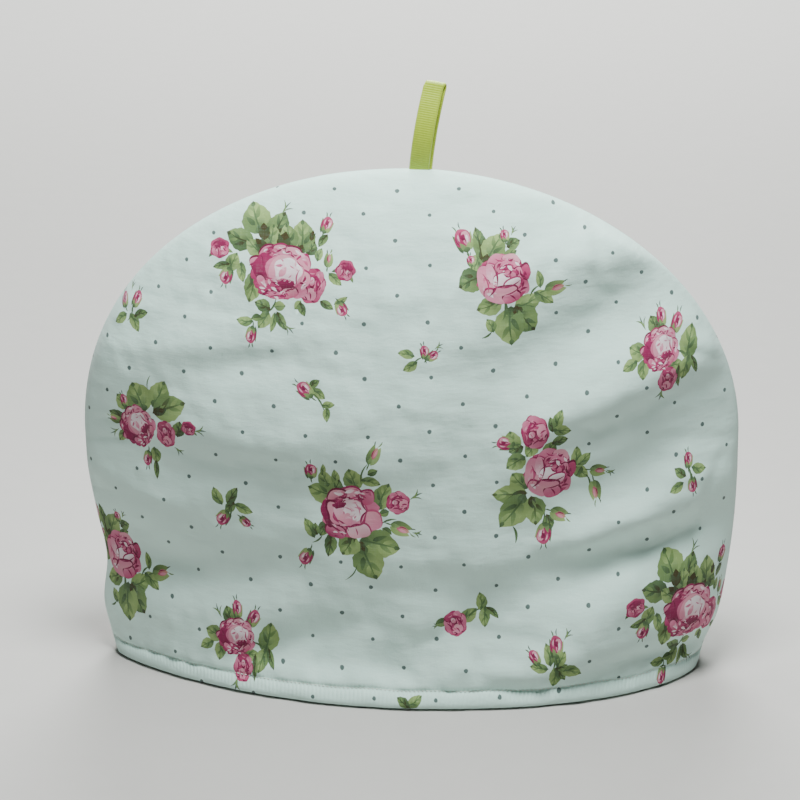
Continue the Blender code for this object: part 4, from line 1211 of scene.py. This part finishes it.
def ribbon_loop(name, wall):
    """A ribbed ribbon folded in two, both ends held in the seam."""
    foot_depth = RIBBON_THICKNESS / 2 + GAP / 2
    part = np.linspace(0.0, 1.0, 160)
    rise = (LOOP_STAND - TOP_HALF_GAP) * part
    swell = np.sin(np.pi * np.clip(part / 0.92, 0.0, 1.0) ** 0.8) ** 1.3
    half = foot_depth + (TOP_HALF_GAP - foot_depth) * part * part + (LOOP_HALF_GAP - 2.0) * swell
    back = LOOP_BACK * part ** 3
    turn = np.linspace(0.0, math.pi, 42)[1:-1]
    front = np.stack([back - half, rise], axis=1)
    over = np.stack([LOOP_BACK - TOP_HALF_GAP * np.cos(turn), rise[-1] + TOP_HALF_GAP * np.sin(turn)], axis=1)
    foot = np.stack([np.full(20, -foot_depth), np.linspace(-LOOP_FOOT, -0.3, 20)], axis=1)
    behind = np.stack([back + half, rise], axis=1)
    path = np.concatenate([foot, front, over, behind[::-1], foot[::-1] * (-1, 1)])
    runs = np.concatenate([[0.0], np.cumsum(np.hypot(*np.diff(path, axis=0).T))])
    places = np.linspace(0.0, runs[-1], int(runs[-1] / RIB_PITCH * 5))
    path = np.stack([np.interp(places, runs, path[:, 0]), np.interp(places, runs, path[:, 1])], axis=1)
    ahead = np.gradient(path, axis=0)
    ahead /= np.hypot(*ahead.T)[:, None]
    out = np.stack([-ahead[:, 1], ahead[:, 0]], axis=1)
    columns = 17
    across = np.linspace(-1.0, 1.0, columns)
    rib = np.abs(np.sin(math.pi * places / RIB_PITCH)) ** 0.7
    edge = np.clip((1 - np.abs(across)) / 0.12, 0.0, 1.0) ** 0.5
    thick = RIBBON_THICKNESS * (0.30 + 0.16 * np.outer(rib, np.clip((0.93 - np.abs(across)) / 0.05, 0.0, 1.0)))
    thick = thick * (0.35 + 0.65 * edge) + 0.06 * np.exp(-((np.abs(across) - 0.95) / 0.03) ** 2)
    cup = 0.25 * across * across
    rows = []
    for sign in (1.0, -1.0):
        away = sign * thick - cup
        depth = path[:, 0:1] + away * out[:, 0:1]
        height = path[:, 1:2] + away * out[:, 1:2]
        after = np.clip((places[:, None] / places[-1] - 0.47) / 0.06, 0.0, 1.0)
        x = across * RIBBON_WIDTH / 2 - 0.4 + 1.5 * after
        climb = np.clip(height / LOOP_STAND, -0.2, 1.0)
        bend = RIBBON_BEND * (climb * climb - climb)
        rows.append(np.stack([x + bend, depth, height], axis=-1))
    upper, lower = rows
    count = len(places)
    ring = np.concatenate([upper, lower[:, ::-1]], axis=1)
    span = ring.shape[1]
    lean = np.array(((math.cos(LOOP_LEAN), 0.0, -math.sin(LOOP_LEAN)), (0.0, 1.0, 0.0),
                     (math.sin(LOOP_LEAN), 0.0, math.cos(LOOP_LEAN))))
    reach = wall.halves + wall.middles
    base = float(np.interp(-LOOP_MIDDLE_X, -reach[110:], wall.heights[110:]))
    standing = ring.reshape(-1, 3) @ lean + np.array((LOOP_MIDDLE_X, 0.0, base))
    faces = []
    for row in range(count - 1):
        for column in range(span):
            near = (column + 1) % span
            low, high = row * span, (row + 1) * span
            faces.append((low + column, low + near, high + near, high + column))
    faces.append(tuple(reversed(range(span))))
    faces.append(tuple((count - 1) * span + column for column in range(span)))
    mesh = bpy.data.meshes.new(name)
    mesh.from_pydata([tuple(place) for place in standing * MM], [], faces)
    uv = mesh.uv_layers.new(name="cloth")
    along = np.repeat(places, span) * MM
    sideways = np.tile(np.concatenate([across, across[::-1]]) * RIBBON_WIDTH / 2, count) * MM
    corner = np.empty(len(mesh.loops), dtype=int)
    mesh.loops.foreach_get("vertex_index", corner)
    uv.data.foreach_set("uv", np.stack([sideways[corner], along[corner]], axis=1).ravel())
    mesh.validate()
    mesh.shade_smooth()
    piece = bpy.data.objects.new(name, mesh)
    bpy.context.collection.objects.link(piece)
    return piece, runs[-1] * MM


# Materials

class Signal:
    """One output of a node. Arithmetic on it adds Math nodes."""

    def __init__(self, finish, socket):
        self.finish, self.socket = finish, socket

    def maths(self, operation, first, second=0.0):
        return self.finish.node("ShaderNodeMath", {"operation": operation}, {0: first, 1: second})

    def __add__(self, other):
        return self.maths("ADD", self, other)

    def __sub__(self, other):
        return self.maths("SUBTRACT", self, other)

    def __rsub__(self, other):
        return self.maths("SUBTRACT", other, self)

    def __mul__(self, other):
        return self.maths("MULTIPLY", self, other)

    def __truediv__(self, other):
        return self.maths("DIVIDE", self, other)

    def __rtruediv__(self, other):
        return self.maths("DIVIDE", other, self)

    def __pow__(self, other):
        return self.maths("POWER", self, other)

    __radd__ = __add__
    __rmul__ = __mul__

    def sine(self):
        return self.maths("SINE", self)

    def size(self):
        return self.maths("ABSOLUTE", self)

    def above(self, low, high):
        """0 below low, 1 above high, and smooth between them."""
        return self.finish.node("ShaderNodeMapRange", {"interpolation_type": "SMOOTHSTEP"},
                                {0: self, 1: low, 2: high})


class Finish:
    """A material whose nodes are made one call at a time."""

    def __init__(self, name, tint):
        self.material = bpy.data.materials.new(name)
        self.material.diffuse_color = (*tint, 1.0)
        self.material.use_nodes = True
        self.tree = self.material.node_tree
        self.tree.nodes.clear()

    def node(self, kind, settings=None, sockets=None, output=0):
        made = self.tree.nodes.new(kind)
        for name, value in (settings or {}).items():
            if name == "stops":
                for place, colour in value:
                    stop = made.color_ramp.elements.new(place)
                    stop.color = colour
            else:
                setattr(made, name, value)
        for name, value in (sockets or {}).items():
            if isinstance(value, Signal):
                self.tree.links.new(value.socket, made.inputs[name])
            else:
                made.inputs[name].default_value = value
        return None if output is None else Signal(self, made.outputs[output])

    def noise(self, place, scale, detail=2.0, roughness=0.5):
        return self.node("ShaderNodeTexNoise", {}, {"Vector": place, "Scale": scale, "Detail": detail,
                                                    "Roughness": roughness})

    def stretched(self, place, x, y):
        return self.node("ShaderNodeVectorMath", {"operation": "MULTIPLY"}, {0: place, 1: (x, y, 1.0)})

    def blend(self, share, first, second, kind="MIX"):
        return self.node("ShaderNodeMix", {"data_type": "RGBA", "blend_type": kind},
                         {0: share, 6: first, 7: second}, 2)

    def grey(self, value):
        return self.node("ShaderNodeCombineColor", {}, {0: value, 1: value, 2: value})

    def surface(self, sockets):
        shader = self.node("ShaderNodeBsdfPrincipled", {}, sockets)
        self.node("ShaderNodeOutputMaterial", {}, {"Surface": shader}, None)
        return self.material


def weave(finish, place, pitch):
    """Height of plain woven threads, a little uneven, and the unevenness alone."""
    sway = finish.noise(place, 160.0, 2.0)
    parts = finish.node("ShaderNodeSeparateXYZ", {}, {0: place})
    across = Signal(finish, parts.socket.node.outputs["X"]) + (sway - 0.5) * 0.0006
    up = Signal(finish, parts.socket.node.outputs["Y"]) + (sway - 0.5) * 0.0006
    turn = 2 * math.pi / pitch
    threads = (across * turn).sine() * (up * turn).sine() * 0.5 + 0.5
    thick_across = finish.noise(finish.stretched(place, 90.0, 2600.0), 1.0, 1.0)
    thick_up = finish.noise(finish.stretched(place, 2600.0, 90.0), 1.0, 1.0)
    slubs = thick_across * 0.5 + thick_up * 0.5
    return threads, slubs


def cotton(name, printed, scale):
    """Plain woven cotton with fine creases, printed or plain."""
    finish = Finish(name, INKS["cloth"])
    uv = finish.node("ShaderNodeUVMap", {"uv_map": "cloth"})
    place = finish.stretched(uv, scale, scale)
    threads, slubs = weave(finish, place, 0.00046)
    broad = finish.noise(place, 26.0, 3.0)
    fine = finish.noise(place, 240.0, 4.0, 0.6)
    ground = finish.node("ShaderNodeAttribute", {"attribute_name": "print_colour"}) if printed else None
    if ground is None:
        ground = finish.blend(broad, (*srgb(206, 236, 226), 1.0), (*srgb(213, 240, 232), 1.0))
    else:
        worn = slubs.above(0.50, 0.80) * 0.10 + fine.above(0.55, 0.80) * 0.07
        ground = finish.blend(worn, ground, (*INKS["cloth"], 1.0))
    tone = 0.93 + threads * 0.05 + slubs * 0.05 + broad * 0.04 - fine.above(0.60, 0.85) * 0.03
    colour = finish.blend(1.0, ground, finish.grey(tone), "MULTIPLY")
    wrinkles = finish.noise(finish.stretched(place, 60.0, 150.0), 1.0, 4.0, 0.55)
    ripples = finish.noise(finish.stretched(place, 210.0, 120.0), 1.0, 3.0, 0.5)
    height = wrinkles * 0.0011 + ripples * 0.0004 + slubs * 0.00008 + threads * 0.00006
    bump = finish.node("ShaderNodeBump", {}, {"Strength": 0.55, "Distance": 1.0, "Height": height})
    return finish.surface({"Base Color": colour, "Roughness": 0.80 + fine * 0.12, "Normal": bump,
                           "Specular IOR Level": 0.30, "Sheen Weight": 0.18, "Sheen Roughness": 0.45})


def thread_finish():
    """Twisted white sewing cotton."""
    finish = Finish("white_thread", srgb(232, 238, 232))
    place = finish.node("ShaderNodeTexCoord", {}, {}, 3)
    twist = finish.node("ShaderNodeTexWave", {"bands_direction": "DIAGONAL"},
                        {"Vector": place, "Scale": 1600.0, "Distortion": 1.5, "Detail": 1.0}, 1)
    patchy = finish.noise(place, 400.0, 2.0)
    colour = finish.blend(twist * 0.6 + patchy * 0.4, (*srgb(206, 218, 208), 1.0), (*srgb(238, 244, 238), 1.0))
    bump = finish.node("ShaderNodeBump", {}, {"Strength": 0.4, "Distance": 0.00008, "Height": twist})
    return finish.surface({"Base Color": colour, "Roughness": 0.62 + patchy * 0.15, "Normal": bump,
                           "Sheen Weight": 0.2})


def ribbon_finish():
    """Ribbed lime ribbon, with painted highlights on the ribs and painted shade between them, lighter along
    its woven edges.
    """
    finish = Finish("green_ribbon", srgb(178, 194, 62))
    uv = finish.node("ShaderNodeUVMap", {"uv_map": "cloth"})
    parts = finish.node("ShaderNodeSeparateXYZ", {}, {0: uv})
    across = parts
    along = Signal(finish, parts.socket.node.outputs["Y"])
    rib = (along * (math.pi / (RIB_PITCH * MM))).sine().size()
    yarn = (across * (2 * math.pi / 0.00033)).sine() * 0.5 + 0.5
    patchy = finish.noise(finish.stretched(uv, 700.0, 120.0), 1.0, 3.0)
    edge = across.size().above(0.0044, 0.0049)
    mark = finish.noise(uv, 90.0, 2.0)
    deep = finish.blend(mark, (*srgb(142, 166, 22), 1.0), (*srgb(154, 176, 34), 1.0))
    light = finish.blend(mark, (*srgb(184, 206, 52), 1.0), (*srgb(196, 214, 70), 1.0))
    # the rib term paints highlights on the rib crests and shade in the grooves between them; yarn and patchy
    # give the ribbon's own uneven tone
    colour = finish.blend(rib * 0.30 + yarn * 0.12 + patchy * 0.50, deep, light)
    colour = finish.blend(edge * 0.5, colour, (*srgb(206, 216, 110), 1.0))
    height = yarn * 0.6 + patchy
    bump = finish.node("ShaderNodeBump", {}, {"Strength": 0.35, "Distance": 0.00008, "Height": height})
    return finish.surface({"Base Color": colour, "Roughness": 0.34 + patchy * 0.16, "Normal": bump,
                           "Sheen Weight": 0.15, "Sheen Roughness": 0.35, "Specular IOR Level": 0.6})


def floor_finish():
    """Matt pale paper."""
    finish = Finish("pale_floor", (0.9, 0.9, 0.9))
    place = finish.node("ShaderNodeTexCoord", {}, {}, 3)
    fibre = finish.noise(place, 60.0, 4.0, 0.6)
    colour = finish.blend(fibre, (0.54, 0.505, 0.49, 1.0), (0.57, 0.535, 0.52, 1.0))
    return finish.surface({"Base Color": colour, "Roughness": 0.9, "Specular IOR Level": 0.1})


# The pieces

def dress(piece, slot, *materials):
    for material in materials:
        piece.data.materials.append(material)
    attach(piece, "root")
    return piece


def main():
    printed = cotton("printed_cotton", True, 1.0)
    lining = cotton("plain_cotton_lining", False, 1.0)
    thread = thread_finish()
    for side_name, folds, creases, side, seed, bouquets in (
        ("front", FRONT_FOLDS, FRONT_CREASES, -1, 3, FRONT_BOUQUETS),
        ("back", BACK_FOLDS, BACK_CREASES, 1, 14, BACK_BOUQUETS),
    ):
        wall = Wall(folds, creases, side, seed)
        piece, flat_area = wall_mesh(side_name + "_wall", wall, print_shapes(bouquets, seed))
        dress(piece, "printed_cotton", printed, lining)
        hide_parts("panel_" + side_name)
        stitches = dress(hem_stitches(side_name + "_hem_stitches", wall), "printed_cotton", thread)
        if side < 0:
            loop, length = ribbon_loop("ribbon_loop", wall)
            dress(loop, "green_ribbon", ribbon_finish())
            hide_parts("hanging_loop")
            print("ribbon length", round(length, 4))

    stage()


def area_light(name, place, aim, size, power, colour=(1.0, 1.0, 1.0)):
    """A soft round light that faces its aim."""
    data = bpy.data.lights.new(name, "AREA")
    data.shape = "DISK"
    data.size = size
    data.energy = power
    data.color = colour
    light = bpy.data.objects.new(name, data)
    light.location = place
    light.rotation_euler = (Vector(aim) - Vector(place)).to_track_quat("-Z", "Y").to_euler()
    bpy.context.collection.objects.link(light)


def stage():
    """The floor, the soft light from above and the camera at the photograph's angle."""
    size = 6.0
    mesh = bpy.data.meshes.new("pale_floor")
    corners = [(-size, -size, 0.0), (size, -size, 0.0), (size, size, 0.0), (-size, size, 0.0)]
    mesh.from_pydata(corners, [], [(0, 1, 2, 3)])
    mesh.materials.append(floor_finish())
    floor = bpy.data.objects.new("pale_floor", mesh)
    bpy.context.collection.objects.link(floor)

    tint = (0.93, 1.0, 0.985)
    area_light("overhead_softbox", (0.04, -0.22, 0.90), (0.0, 0.0, 0.1), 0.35, 12.5, tint)
    area_light("rear_softbox", (-0.1, 0.3, 1.0), (0.0, 0.0, 0.1), 0.5, 4.0, tint)
    area_light("backdrop_light", (0.0, 1.9, 1.5), (0.0, 1.3, 0.0), 1.2, 90.0, tint)
    world = bpy.data.worlds.new("soft_room")
    bpy.context.scene.world = world
    world.use_nodes = True
    sky = world.node_tree.nodes["Background"]
    sky.inputs["Color"].default_value = (1.0, 0.98, 0.94, 1.0)
    sky.inputs["Strength"].default_value = 0.02

    camera = bpy.data.cameras.new("camera")
    camera.sensor_width = 36.0
    camera.lens = PIXELS_PER_METRE * CAMERA_DISTANCE / 800 * 36.0
    camera.clip_end = 60.0
    view = bpy.data.objects.new("camera", camera)
    around, tilt = math.radians(CAMERA_AROUND), math.radians(CAMERA_TILT)
    away = Vector((math.sin(around) * math.cos(tilt), -math.cos(around) * math.cos(tilt), math.sin(tilt)))
    turn = (-away).to_track_quat("-Z", "Y")
    aim = Vector(CAMERA_TARGET) + turn @ Vector((-(TARGET_PIXEL[0] - 400) / PIXELS_PER_METRE,
                                                 (TARGET_PIXEL[1] - 400) / PIXELS_PER_METRE, 0.0))
    view.location = aim + away * CAMERA_DISTANCE
    view.rotation_mode = "QUATERNION"
    view.rotation_quaternion = turn
    bpy.context.collection.objects.link(view)
    bpy.context.scene.camera = view


main()
